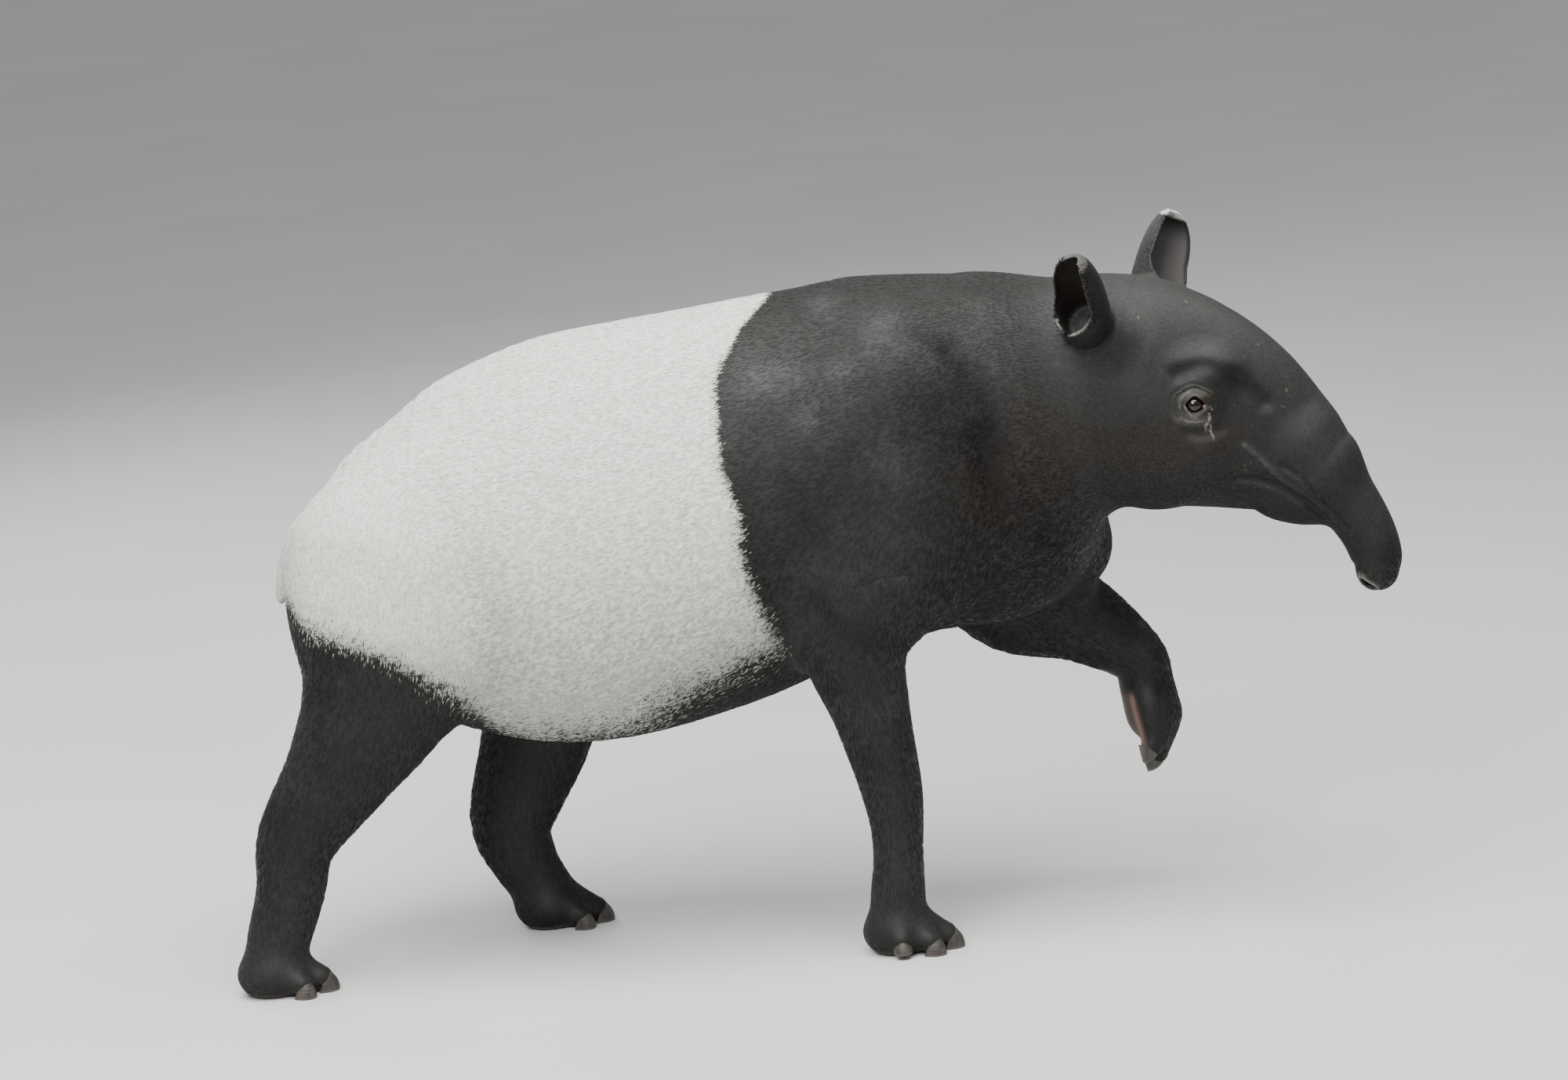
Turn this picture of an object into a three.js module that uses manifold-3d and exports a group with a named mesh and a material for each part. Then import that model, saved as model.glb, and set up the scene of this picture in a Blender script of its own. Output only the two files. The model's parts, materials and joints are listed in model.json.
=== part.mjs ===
// A Malayan tapir, life size, in mid-walk: the left forefoot is lifted and the head turns to the right.
// Millimetres, +X ahead, +Y to the animal's left, +Z up, the soles of three feet on the floor at Z = 0.
//
// The flesh is one smooth field: a number for each point, below zero inside. Its pieces are rows of stations
// with oval sections (limbs) and ovoids (muscles), melted into each other. Each node is the flesh inside a
// region of its own, turned into a mesh with a step that suits it, and neighbours keep a thin gap.

import * as THREE from "three";
import { mergeVertices } from "three/addons/utils/BufferGeometryUtils.js";
import Module from "manifold-3d";

const wasm = await Module();
wasm.setup();

// Driving dimensions
const GAP = 0.3; // between nodes that touch
const STANCE = 148; // from the middle plane to each foot
const GIRTH = 246; // half the width of the belly
const HEAD_YAW = 14; // degrees to the right of the body's own line
const EYE_RADIUS = 17;
const EAR_LENGTH = 134;
const EAR_HALF_WIDTH = 40;
const EAR_WALL = 5;
const EAR_SUNK = 26; // length of its root inside the head
const HOOF_HALF_WIDTH = 17;
const HOOF_LENGTH = 27;
const SPAN_STEPS = 5; // straight pieces between two stations

// Vectors as plain arrays
const add = (a, b) => [a[0] + b[0], a[1] + b[1], a[2] + b[2]];
const subtract = (a, b) => [a[0] - b[0], a[1] - b[1], a[2] - b[2]];
const times = (a, k) => [a[0] * k, a[1] * k, a[2] * k];
const dot = (a, b) => a[0] * b[0] + a[1] * b[1] + a[2] * b[2];
const cross = (a, b) => [
  a[1] * b[2] - a[2] * b[1],
  a[2] * b[0] - a[0] * b[2],
  a[0] * b[1] - a[1] * b[0],
];
const size = (a) => Math.hypot(a[0], a[1], a[2]);
const unit = (a) => times(a, 1 / size(a));
const mix = (a, b, t) => a.map((v, i) => v + (b[i] - v) * t);
const clamp = (v, low, high) => Math.min(high, Math.max(low, v));
const radians = THREE.MathUtils.degToRad;

// A frame has an origin and three axes, and turns its own coordinates into the part's.
function frame(origin, ahead, up) {
  const x = unit(ahead);
  const y = unit(cross(up, x));
  const z = cross(x, y);
  const turn = (v) => add(add(times(x, v[0]), times(y, v[1])), times(z, v[2]));
  return { origin, x, y, z, turn, at: (v) => add(origin, turn(v)) };
}

// The part's own frame, and the head's: along its length, to its left, and height above the floor
const BODY = frame([0, 0, 0], [1, 0, 0], [0, 0, 1]);
const head = frame(
  [500, -25, 0],
  [Math.cos(radians(HEAD_YAW)), -Math.sin(radians(HEAD_YAW)), 0],
  [0, 0, 1],
);

// The signed distance to an oval, near enough: u holds coordinates from its middle, r its radii.
function ovalDistance(u, r) {
  const k0 = Math.hypot(u[0] / r[0], u[1] / r[1], u[2] / r[2]);
  const k1 = Math.hypot(u[0] / r[0] ** 2, u[1] / r[1] ** 2, u[2] / r[2] ** 2);
  return k1 > 1e-9 ? (k0 * (k0 - 1)) / k1 : -Math.min(...r);
}

// A smooth curve through the rows of a table
function through(rows, steps) {
  const made = [];
  const row = (i) => rows[clamp(i, 0, rows.length - 1)];
  for (let i = 0; i < rows.length - 1; i++) {
    for (let j = 0; j < steps; j++) {
      const t = j / steps;
      made.push(
        row(i).map((b, k) => {
          const [a, c, d] = [row(i - 1)[k], row(i + 1)[k], row(i + 2)[k]];
          const bend = (3 * b - 3 * c + d - a) * t + 2 * a - 5 * b + 4 * c - d;
          return b + 0.5 * t * (c - a + t * bend);
        }),
      );
    }
  }
  made.push(row(rows.length - 1));
  return made;
}

// A limb is a row of stations [x, y, z, half width, half depth]. Width is measured along side, egg widens
// the section towards the front or top where it is positive, and blend is how far it melts into the rest.
function limb(stations, { side = [0, 1, 0], egg = 0, blend = 60, place = null } = {}) {
  const rows = through(stations, SPAN_STEPS).map((r) => {
    const c = r.slice(0, 3);
    return { c: place ? place.at(c) : c, wide: r[3], deep: r[4] };
  });
  const across = place ? place.turn(side) : side;
  rows.forEach((r, i) => {
    const before = rows[Math.max(i - 1, 0)].c;
    const after = rows[Math.min(i + 1, rows.length - 1)].c;
    r.along = unit(subtract(after, before));
    r.side = unit(subtract(across, times(r.along, dot(across, r.along))));
    r.front = cross(r.along, r.side);
  });
  const centre = times(rows.reduce((sum, r) => add(sum, r.c), [0, 0, 0]), 1 / rows.length);
  const reach = Math.max(
    ...rows.map((r) => size(subtract(r.c, centre)) + Math.max(r.wide * (1 + Math.abs(egg)), r.deep)),
  );
  const distance = (p) => {
    let best = Infinity;
    let at = 0;
    let share = 0;
    for (let i = 0; i < rows.length - 1; i++) {
      const a = rows[i].c;
      const d = subtract(rows[i + 1].c, a);
      const t = clamp(dot(subtract(p, a), d) / dot(d, d), 0, 1);
      const off = size(subtract(p, add(a, times(d, t))));
      if (off < best) [best, at, share] = [off, i, t];
    }
    const [a, b] = [rows[at], rows[at + 1]];
    const away = subtract(p, mix(a.c, b.c, share));
    const wide = a.wide + (b.wide - a.wide) * share;
    const deep = a.deep + (b.deep - a.deep) * share;
    const front = dot(away, mix(a.front, b.front, share));
    const past =
      (at === 0 && share === 0) || (at === rows.length - 2 && share === 1)
        ? dot(away, mix(a.along, b.along, share))
        : 0;
    const width = wide * (1 + egg * clamp(front / deep, -1, 1));
    return ovalDistance(
      [dot(away, mix(a.side, b.side, share)), front, past],
      [width, deep, Math.min(wide, deep)],
    );
  };
  return { centre, reach, blend, distance };
}

// A muscle is an ovoid with half sizes along its frame's axes.
function muscle(middle, halves, { ahead = [1, 0, 0], up = [0, 0, 1], blend = 60, place = null } = {}) {
  const axes = frame(
    place ? place.at(middle) : middle,
    place ? place.turn(ahead) : ahead,
    place ? place.turn(up) : up,
  );
  const distance = (p) => {
    const away = subtract(p, axes.origin);
    return ovalDistance([dot(away, axes.x), dot(away, axes.y), dot(away, axes.z)], halves);
  };
  return { centre: axes.origin, reach: Math.max(...halves), blend, distance };
}

// A crease is a soft furrow along a line on the skin, or a fold where its depth is below zero.
function crease(points, depth, halfWidth, place = null) {
  const line = through(points, 4).map((p) => (place ? place.at(p) : p));
  const middle = times(line.reduce((sum, p) => add(sum, p), [0, 0, 0]), 1 / line.length);
  const reach = Math.max(...line.map((p) => size(subtract(p, middle)))) + 3 * halfWidth;
  return (p) => {
    if (size(subtract(p, middle)) > reach) return 0;
    let best = Infinity;
    for (let i = 0; i < line.length - 1; i++) {
      const d = subtract(line[i + 1], line[i]);
      const t = clamp(dot(subtract(p, line[i]), d) / dot(d, d), 0, 1);
      best = Math.min(best, size(subtract(p, add(line[i], times(d, t)))));
    }
    return depth * Math.exp(-((best / halfWidth) ** 2));
  };
}

// Trunk of the body, from the buttocks to the breast
const trunk = limb(
  [
    [-700, 0, 616, 66, 100],
    [-620, 0, 624, 150, 186],
    [-500, 0, 626, 206, 268],
    [-330, 0, 637, GIRTH, 312],
    [-140, 0, 667, 240, 308],
    [40, 0, 708, 214, 286],
    [200, 0, 730, 186, 270],
    [330, 0, 752, 158, 232],
  ],
  { egg: -0.12, blend: 60 },
);

// Neck, thick and nearly level, bending to the right where the head begins
const neck = limb(
  [
    [180, 0, 756, 146, 222],
    [300, -2, 778, 136, 208],
    [400, -8, 798, 124, 186],
    [500, -27, 806, 112, 172],
    [560, -40, 804, 100, 160],
  ],
  { egg: -0.06, blend: 70 },
);

// Skull and snout, in the head's own frame
const skull = limb(
  [
    [-10, 0, 812, 100, 160],
    [70, 0, 806, 96, 166],
    [140, 0, 782, 84, 158],
    [210, 0, 748, 70, 138],
    [275, 0, 708, 57, 106],
    [325, 0, 670, 47, 72],
  ],
  { egg: -0.18, blend: 40, place: head },
);
const proboscis = limb(
  [
    [300, 0, 708, 44, 62],
    [350, 0, 650, 40, 50],
    [386, 0, 592, 37, 43],
    [401, 0, 548, 35, 39],
    [401, 0, 524, 34, 33],
  ],
  { blend: 34, place: head },
);

// Paired swellings of the head: [along, to the side, height] of the middle, half sizes, the direction of the
// first, and how far they melt into the rest
const FACE = {
  cheek: { at: [95, 62, 725], halves: [92, 38, 82], blend: 50 },
  brow: { at: [168, 52, 838], halves: [48, 24, 26], blend: 36 },
  eyeRing: { at: [160, 66, 795], halves: [34, 22, 30], blend: 24 },
  earMound: { at: [28, 74, 900], halves: [42, 22, 38], blend: 34 },
  upperLip: { at: [296, 30, 668], halves: [52, 18, 19], ahead: [0.9, -0.1, -0.42], blend: 18 },
  lowerLip: { at: [284, 22, 622], halves: [48, 20, 20], ahead: [0.98, -0.1, -0.14], blend: 24 },
};
const face = Object.values(FACE).flatMap(({ at, halves, ahead = [1, 0, 0], blend }) =>
  [-1, 1].map((left) =>
    muscle([at[0], left * at[1], at[2]], halves, {
      ahead: [ahead[0], left * ahead[1], ahead[2]],
      blend,
      place: head,
    }),
  ),
);

// Legs, from the top down. The stations' half depth is fore and aft.
const hindRight = limb(
  [
    [-560, -128, 660, 92, 158],
    [-588, -152, 550, 84, 150],
    [-622, -160, 445, 68, 118],
    [-690, -155, 340, 54, 84],
    [-765, -150, 240, 45, 63],
    [-785, -STANCE, 160, 41, 54],
    [-812, -STANCE, 84, 42, 49],
    [-826, -STANCE, 34, 44, 46],
  ],
  { blend: 56 },
);
const hindLeft = limb(
  [
    [-540, 122, 650, 92, 158],
    [-490, 152, 540, 88, 150],
    [-440, 164, 425, 72, 122],
    [-428, 158, 320, 58, 92],
    [-482, 150, 178, 46, 68],
    [-470, STANCE, 108, 42, 54],
    [-444, STANCE, 60, 42, 46],
    [-434, STANCE, 34, 44, 44],
  ],
  { blend: 56 },
);
const foreRight = limb(
  [
    [215, -118, 680, 84, 128],
    [140, -148, 560, 74, 112],
    [108, -156, 470, 60, 82],
    [122, -153, 370, 50, 60],
    [142, -150, 245, 43, 47],
    [143, -STANCE, 160, 40, 39],
    [136, -STANCE, 84, 42, 42],
    [132, -STANCE, 34, 46, 42],
  ],
  { blend: 50 },
);
const foreLeft = limb(
  [
    [330, 96, 640, 84, 122],
    [300, 130, 530, 78, 104],
    [330, 150, 462, 70, 84],
    [420, 156, 428, 58, 72],
    [506, 156, 362, 45, 48],
    [522, 154, 312, 41, 43],
    [528, 152, 272, 41, 40],
  ],
  { blend: 50 },
);

// Masses that shape the shoulders, haunches and breast: middle, half sizes, direction of the first
const MASSES = {
  haunchRight: [[-556, -124, 622], [178, 84, 172], { ahead: [0.9, 0, 0.35], blend: 110 }],
  haunchLeft: [[-540, 124, 622], [178, 84, 172], { ahead: [0.9, 0, 0.35], blend: 110 }],
  shoulderBladeRight: [[160, -126, 742], [178, 56, 116], { ahead: [0.45, 0, 1], blend: 90 }],
  shoulderBladeLeft: [[205, 126, 742], [178, 56, 116], { ahead: [0.5, 0, 1], blend: 90 }],
  upperArmLeft: [[392, 96, 570], [104, 66, 92], { ahead: [1, 0, -0.8], blend: 60 }],
  breast: [[330, 0, 590], [118, 120, 120], { blend: 70 }],
};
const masses = Object.values(MASSES).map((numbers) => muscle(...numbers));

// Feet. A foot's frame has its origin on the sole under the pad, +X to the toes and +Z away from the sole.
// Each toe is [degrees outwards from straight ahead, reach, half width, height of its hoof above the sole].
const FORE_TOES = {
  inner: [-37, 58, 0.95, 0],
  middle: [-1, 65, 1.1, 0],
  outer: [35, 58, 0.95, 0],
  side: [82, 50, 0.74, 8],
};
const HIND_TOES = {
  inner: [-37, 58, 0.94, 0],
  middle: [0, 67, 1.1, 0],
  outer: [37, 58, 0.94, 0],
};
const planted = (x, left) => frame([x, left * STANCE, 0], [1, left * 0.05, 0], [0, 0, 1]);
const lifted = frame([497, 153, 268], [0.17, 0.04, -1], [1, 0, 0.17]);
const FEET = [
  { name: "fore_foot_right", place: planted(136, -1), left: -1, toes: FORE_TOES },
  { name: "hind_foot_right", place: planted(-822, -1), left: -1, toes: HIND_TOES },
  { name: "hind_foot_left", place: planted(-434, 1), left: 1, toes: HIND_TOES },
  { name: "fore_foot_left", place: lifted, left: 1, toes: FORE_TOES },
];
const TOE_RADIUS = 22;
const pads = FEET.flatMap(({ place, left, toes }) => [
  muscle([-2, 0, 30], [54, 50, 34], { place, blend: 26 }),
  ...Object.values(toes).map(([degrees, reach, scale, lift]) => {
    const a = radians(degrees) * left;
    const wide = TOE_RADIUS * scale;
    return limb(
      [
        [12 * Math.cos(a), 12 * Math.sin(a), 46 + lift, wide, wide],
        [reach * 0.62 * Math.cos(a), reach * 0.62 * Math.sin(a), 32 + lift, wide, wide],
        [reach * Math.cos(a), reach * Math.sin(a), 19 + lift, wide * 0.9, wide * 0.86],
      ],
      { place, side: [-Math.sin(a), Math.cos(a), 0], blend: 12 },
    );
  }),
]);

const legs = [hindRight, hindLeft, foreRight, foreLeft];
const flesh = [trunk, neck, skull, ...masses, ...legs, proboscis, ...face, ...pads];

// Furrows and folds that show as lines in the coat: points, depth, half width
const creases = [
  crease([[330, -170, 770], [352, -172, 690], [392, -150, 630], [430, -120, 600]], 9, 22),
  crease([[60, -214, 560], [110, -222, 500], [190, -200, 480]], 7, 16),
  crease([[-470, -250, 470], [-440, -246, 400], [-480, -205, 350]], 7, 22),
  crease([[-470, 250, 470], [-430, 246, 400], [-440, 205, 350]], 7, 22),
  crease([[252, -57, 676], [300, -52, 652], [338, -44, 612]], 5, 12, head),
  crease([[252, 57, 676], [300, 52, 652], [338, 44, 612]], 5, 12, head),
  crease([[140, -84, 768], [168, -92, 752], [204, -80, 758]], 4, 9, head),
  crease([[140, 84, 768], [168, 92, 752], [204, 80, 758]], 4, 9, head),
];

function field(p) {
  let d = Infinity;
  for (const piece of flesh) {
    if (size(subtract(p, piece.centre)) - piece.reach > d + piece.blend) continue;
    const e = piece.distance(p);
    if (d === Infinity) {
      d = e;
      continue;
    }
    const h = Math.max(piece.blend - Math.abs(d - e), 0) / piece.blend;
    d = Math.min(d, e) - h * h * piece.blend * 0.25;
  }
  return creases.reduce((sum, furrow) => sum + furrow(p), d);
}

function gradient(p) {
  const e = 0.5;
  return [0, 1, 2].map((i) => {
    const step = [0, 0, 0];
    step[i] = e;
    return (field(add(p, step)) - field(subtract(p, step))) / (2 * e);
  });
}

// A point moved onto the skin
function settle(p, most) {
  let q = p;
  for (let i = 0; i < 4; i++) {
    const g = gradient(q);
    const move = times(g, -field(q) / Math.max(dot(g, g), 0.05));
    const long = size(move);
    q = add(q, long > most ? times(move, most / long) : move);
  }
  return q;
}

// Where a line from outside meets the skin
function landing(from, direction) {
  const way = unit(direction);
  let p = from;
  for (let i = 0; i < 80; i++) p = add(p, times(way, 0.7 * field(p)));
  return p;
}

// A closed mesh of the flesh inside a box, from cubes with the given step. Flesh that runs out of the box
// is closed off one step inside it. Where two sheets share an edge, the cubes are moved a little.
const NUDGES = [0, 0.27, 0.55, 0.81];
function skin(low, high, step) {
  for (const nudge of NUDGES) {
    const start = low.map((v) => v - nudge * step);
    const { points, quads, held } = cubes(start, high, step);
    const halved = quads.flatMap(([a, b, c, d]) => [a, b, c, a, c, d]);
    if (nudge < NUDGES[NUDGES.length - 1] && !closed(geometryOf(points, halved))) continue;
    relax(points, quads, held, step);
    const triangles = quads.flatMap(([a, b, c, d]) =>
      size(subtract(points[a], points[c])) < size(subtract(points[b], points[d]))
        ? [a, b, c, a, c, d]
        : [a, b, d, b, c, d],
    );
    return solid(geometryOf(points, triangles));
  }
}

function cubes(low, high, step) {
  const n = [0, 1, 2].map((i) => Math.ceil((high[i] - low[i]) / step) + 1);
  const node = (i, j, k) => (i * n[1] + j) * n[2] + k; // place of a grid point in the list
  const at = (i, j, k) => [low[0] + i * step, low[1] + j * step, low[2] + k * step];
  const edge = (i, j, k) =>
    i === 0 || j === 0 || k === 0 || i === n[0] - 1 || j === n[1] - 1 || k === n[2] - 1;
  const value = new Float32Array(n[0] * n[1] * n[2]);
  const BLOCK = 4;
  for (let a = 0; a < n[0]; a += BLOCK)
    for (let b = 0; b < n[1]; b += BLOCK)
      for (let c = 0; c < n[2]; c += BLOCK) {
        const half = (BLOCK - 1) / 2;
        const middle = field(at(a + half, b + half, c + half));
        const far = Math.abs(middle) > 2.2 * BLOCK * step;
        for (let i = a; i < Math.min(a + BLOCK, n[0]); i++)
          for (let j = b; j < Math.min(b + BLOCK, n[1]); j++)
            for (let k = c; k < Math.min(c + BLOCK, n[2]); k++) {
              const v = far ? middle : field(at(i, j, k));
              value[node(i, j, k)] = edge(i, j, k) ? Math.max(v, step / 2) : v;
            }
      }
  const CORNERS = [0, 1, 2, 3, 4, 5, 6, 7].map((c) => [c & 1, (c >> 1) & 1, c >> 2]);
  const LINES = [];
  for (let a = 0; a < 8; a++) for (const bit of [1, 2, 4]) if (!(a & bit)) LINES.push([a, a | bit]);
  const points = [];
  const held = [];
  const pointOf = new Map();
  for (let i = 0; i < n[0] - 1; i++)
    for (let j = 0; j < n[1] - 1; j++)
      for (let k = 0; k < n[2] - 1; k++) {
        const v = CORNERS.map(([a, b, c]) => value[node(i + a, j + b, k + c)]);
        const inside = v.filter((x) => x < 0).length;
        if (inside === 0 || inside === 8) continue;
        let sum = [0, 0, 0];
        let hits = 0;
        for (const [a, b] of LINES)
          if (v[a] < 0 !== v[b] < 0) {
            sum = add(sum, mix(CORNERS[a], CORNERS[b], v[a] / (v[a] - v[b])));
            hits++;
          }
        pointOf.set(node(i, j, k), points.length);
        points.push(add(at(i, j, k), times(sum, step / hits)));
        held.push(i < 1 || j < 1 || k < 1 || i > n[0] - 3 || j > n[1] - 3 || k > n[2] - 3);
      }
  const quads = [];
  const AROUND = [
    [[0, 0, 0], [0, -1, 0], [0, -1, -1], [0, 0, -1]],
    [[0, 0, 0], [0, 0, -1], [-1, 0, -1], [-1, 0, 0]],
    [[0, 0, 0], [-1, 0, 0], [-1, -1, 0], [0, -1, 0]],
  ];
  for (let i = 0; i < n[0] - 1; i++)
    for (let j = 0; j < n[1] - 1; j++)
      for (let k = 0; k < n[2] - 1; k++)
        for (let axis = 0; axis < 3; axis++) {
          const next = [i, j, k];
          next[axis]++;
          const here = value[node(i, j, k)] < 0;
          if (here === value[node(...next)] < 0) continue;
          const ring = AROUND[axis].map(([a, b, c]) => pointOf.get(node(i + a, j + b, k + c)));
          quads.push(here ? ring : ring.reverse());
        }
  return { points, quads, held };
}

// Evens out a mesh along the skin
function relax(points, quads, held, step) {
  const near = points.map(() => new Set());
  for (const q of quads) q.forEach((a, i) => near[a].add(q[(i + 1) % 4]).add(q[(i + 3) % 4]));
  for (let round = 0; round < 3; round++) {
    const moved = points.map((p, i) => {
      if (held[i]) return p;
      const around = [...near[i]].reduce((sum, j) => add(sum, points[j]), [0, 0, 0]);
      return settle(mix(p, times(around, 1 / near[i].size), round < 2 ? 0.5 : 0), step * 0.5);
    });
    moved.forEach((p, i) => (points[i] = p));
  }
}

function geometryOf(points, triangles) {
  return new THREE.BufferGeometry()
    .setAttribute("position", new THREE.Float32BufferAttribute(points.flat(), 3))
    .setIndex(triangles);
}

// A closed three.js geometry as a solid that can be joined and cut
function solid(geometry) {
  const bare = geometry.clone();
  bare.deleteAttribute("normal");
  bare.deleteAttribute("uv");
  const merged = mergeVertices(bare, 1e-3);
  return new wasm.Manifold(
    new wasm.Mesh({
      numProp: 3,
      vertProperties: merged.attributes.position.array,
      triVerts: new Uint32Array(merged.index.array),
    }),
  );
}

// A solid back as a three.js geometry
function geometry(made) {
  const { vertProperties, triVerts } = made.getMesh();
  return new THREE.BufferGeometry()
    .setAttribute("position", new THREE.BufferAttribute(new Float32Array(vertProperties), 3))
    .setIndex(new THREE.BufferAttribute(new Uint32Array(triVerts), 1));
}

const largest = (made) => made.decompose().sort((a, b) => b.volume() - a.volume())[0];

// A three.js shape put into a frame
function put(shape, place) {
  const m = new THREE.Matrix4().makeBasis(
    new THREE.Vector3(...place.x),
    new THREE.Vector3(...place.y),
    new THREE.Vector3(...place.z),
  );
  return solid(shape.applyMatrix4(m.setPosition(...place.origin)));
}

// A box from its lowest to its highest corner, in a frame
function block(low, high, place) {
  const [x, y, z] = subtract(high, low);
  return put(new THREE.BoxGeometry(x, y, z).translate(...times(add(low, high), 0.5)), place);
}

// The region of a node, grown by the gap where asked
function region({ cut, ahead, bounds: [low, high], within = BODY }, grow = 0) {
  const more = [grow, grow, grow];
  const side = Math.abs(unit(ahead)[2]) > 0.9 ? [1, 0, 0] : [0, 0, 1];
  const half = block([-grow, -1000, -1000], [1000, 1000, 1000], frame(cut, ahead, side));
  return block(subtract(low, more), add(high, more), within).intersect(half);
}

// The same mesh moved out along its own normals
function swollen(made, by) {
  const g = geometry(made);
  g.computeVertexNormals();
  const [p, n] = [g.attributes.position, g.attributes.normal];
  for (let i = 0; i < p.count; i++)
    p.setXYZ(i, p.getX(i) + by * n.getX(i), p.getY(i) + by * n.getY(i), p.getZ(i) + by * n.getZ(i));
  return solid(g);
}

// A thin closed plate from a function of u, v and side, which is -1 on one face and 1 on the other.
function plate(across, along, pointAt) {
  const points = [];
  const index = (i, j, face) => (j * (across + 1) + i) * 2 + face;
  for (let j = 0; j <= along; j++)
    for (let i = 0; i <= across; i++)
      for (const side of [-1, 1]) points.push(pointAt(i / across, j / along, side));
  const t = [];
  const quad = (a, b, c, d) => t.push(a, b, c, a, c, d);
  for (let j = 0; j < along; j++)
    for (let i = 0; i < across; i++) {
      quad(index(i, j, 1), index(i + 1, j, 1), index(i + 1, j + 1, 1), index(i, j + 1, 1));
      quad(index(i, j, 0), index(i, j + 1, 0), index(i + 1, j + 1, 0), index(i + 1, j, 0));
    }
  for (let i = 0; i < across; i++) {
    quad(index(i, 0, 0), index(i + 1, 0, 0), index(i + 1, 0, 1), index(i, 0, 1));
    quad(index(i, along, 1), index(i + 1, along, 1), index(i + 1, along, 0), index(i, along, 0));
  }
  for (let j = 0; j < along; j++) {
    quad(index(0, j, 1), index(0, j + 1, 1), index(0, j + 1, 0), index(0, j, 0));
    quad(index(across, j, 0), index(across, j + 1, 0), index(across, j + 1, 1), index(across, j, 1));
  }
  const made = solid(geometryOf(points, t));
  return made.volume() > 0 ? made : solid(geometryOf(points, t.reverse()));
}

// Eyes, set by how far they sit under the skin
const EYE = { along: 159, height: 795, side: 66, sunk: 16, gaze: [0.34, 1, 0.06], slit: [1, 0, -0.14] };
const LID = 4; // thickness of the lids over the eyeball
const OPENING = { halfLength: 16.4, rise: 11.5, drop: 10 };
function eye(left) {
  const gaze = head.turn([EYE.gaze[0], left * EYE.gaze[1], EYE.gaze[2]]);
  const middle = head.at([EYE.along, left * EYE.side, EYE.height]);
  const skinAt = landing(add(middle, times(unit(gaze), 120)), times(gaze, -1));
  const centre = subtract(skinAt, times(unit(gaze), EYE.sunk));
  const slit = head.turn(EYE.slit);
  return frame(centre, times(cross(slit, gaze), left), gaze);
}
const BALL_RINGS = 8;
const ball = (place, radius, rings) => put(new THREE.SphereGeometry(radius, rings * 2, rings), place);

// The opening between the lids: two arcs, drawn along the slit and pushed out along the gaze
function slitOpening(place, { halfLength, rise, drop }) {
  const almond = new THREE.Shape();
  almond.moveTo(0, -halfLength);
  almond.quadraticCurveTo(rise * 2, 0, 0, halfLength);
  almond.quadraticCurveTo(-drop * 2, 0, 0, -halfLength);
  const shape = new THREE.ExtrudeGeometry(almond, { depth: 50, bevelEnabled: false, curveSegments: 8 });
  return put(shape, place);
}

// An ear is a leaf rolled about its length: a tube at its root, then a cup with a rounded tip. It is widest
// a good third of the way up.
const EARS = {
  ear_right: { left: -1, root: [22, 92, 934], up: [0.08, 0.85, 1], open: [-0.52, 1, 0] },
  ear_left: { left: 1, root: [62, 71, 934], up: [0.32, 0.28, 1], open: [0.9, -0.55, 0] },
};
const EAR_WIDEST = 0.38;
const EAR_ROLL = { cup: 104, tube: 68, closed: 0.24, cupped: 0.3 }; // degrees from its back, shares of its length
function earRadius(v) {
  const beyond = (v - EAR_WIDEST) / (1.01 - EAR_WIDEST);
  const below = (EAR_WIDEST - v) / EAR_WIDEST;
  return EAR_HALF_WIDTH * (beyond > 0 ? Math.sqrt(1 - beyond ** 2.6) : 1 - 0.3 * below ** 2);
}
function ear({ left, root, up, open }) {
  const rise = unit([up[0], left * up[1], up[2]]);
  const mouthward = [open[0], left * open[1], open[2]];
  const place = frame(
    head.at([root[0], left * root[1], root[2]]),
    head.turn(subtract(mouthward, times(rise, dot(mouthward, rise)))),
    head.turn(rise),
  );
  return plate(10, 11, (u, v, side) => {
    const shut = 1 - clamp((v - EAR_ROLL.closed) / EAR_ROLL.cupped, 0, 1);
    const roll = radians(EAR_ROLL.cup + EAR_ROLL.tube * shut ** 1.6);
    const radius = earRadius(v);
    const a = (2 * u - 1) * roll;
    const r = radius + (side * EAR_WALL) / 2;
    const height = v * EAR_LENGTH - EAR_SUNK * (1 - v);
    return place.at([radius * 0.35 - r * Math.cos(a), r * Math.sin(a), height]);
  });
}

// The mouth is a wedge that follows the lips round the front of the muzzle: its line is [along, height].
const MOUTH = [[226, 684], [256, 671], [288, 655], [310, 640], [324, 624]];
const MOUTH_FRONT = [348, 0, 606];
function mouth() {
  const half = MOUTH.map(([along, height]) => {
    const p = subtract(landing(head.at([along, -150, height]), head.turn([0, 1, 0])), head.origin);
    return [along, dot(p, head.y), height];
  });
  const other = half.map(([along, aside, height]) => [along, -aside, height]).reverse();
  const line = through([...half, MOUTH_FRONT, ...other], 3);
  return plate(1, line.length - 1, (u, v, side) => {
    const p = line[Math.round(v * (line.length - 1))];
    const out = unit([p[0] - Math.min(p[0], 300), p[1], 0]);
    const lip = unit(subtract([0.2, 0, 1], times(out, dot([0.2, 0, 1], out))));
    return head.at(add(add(p, times(out, u ? 8 : -9)), times(lip, side * (u ? 2.6 : 0.8))));
  });
}

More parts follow.
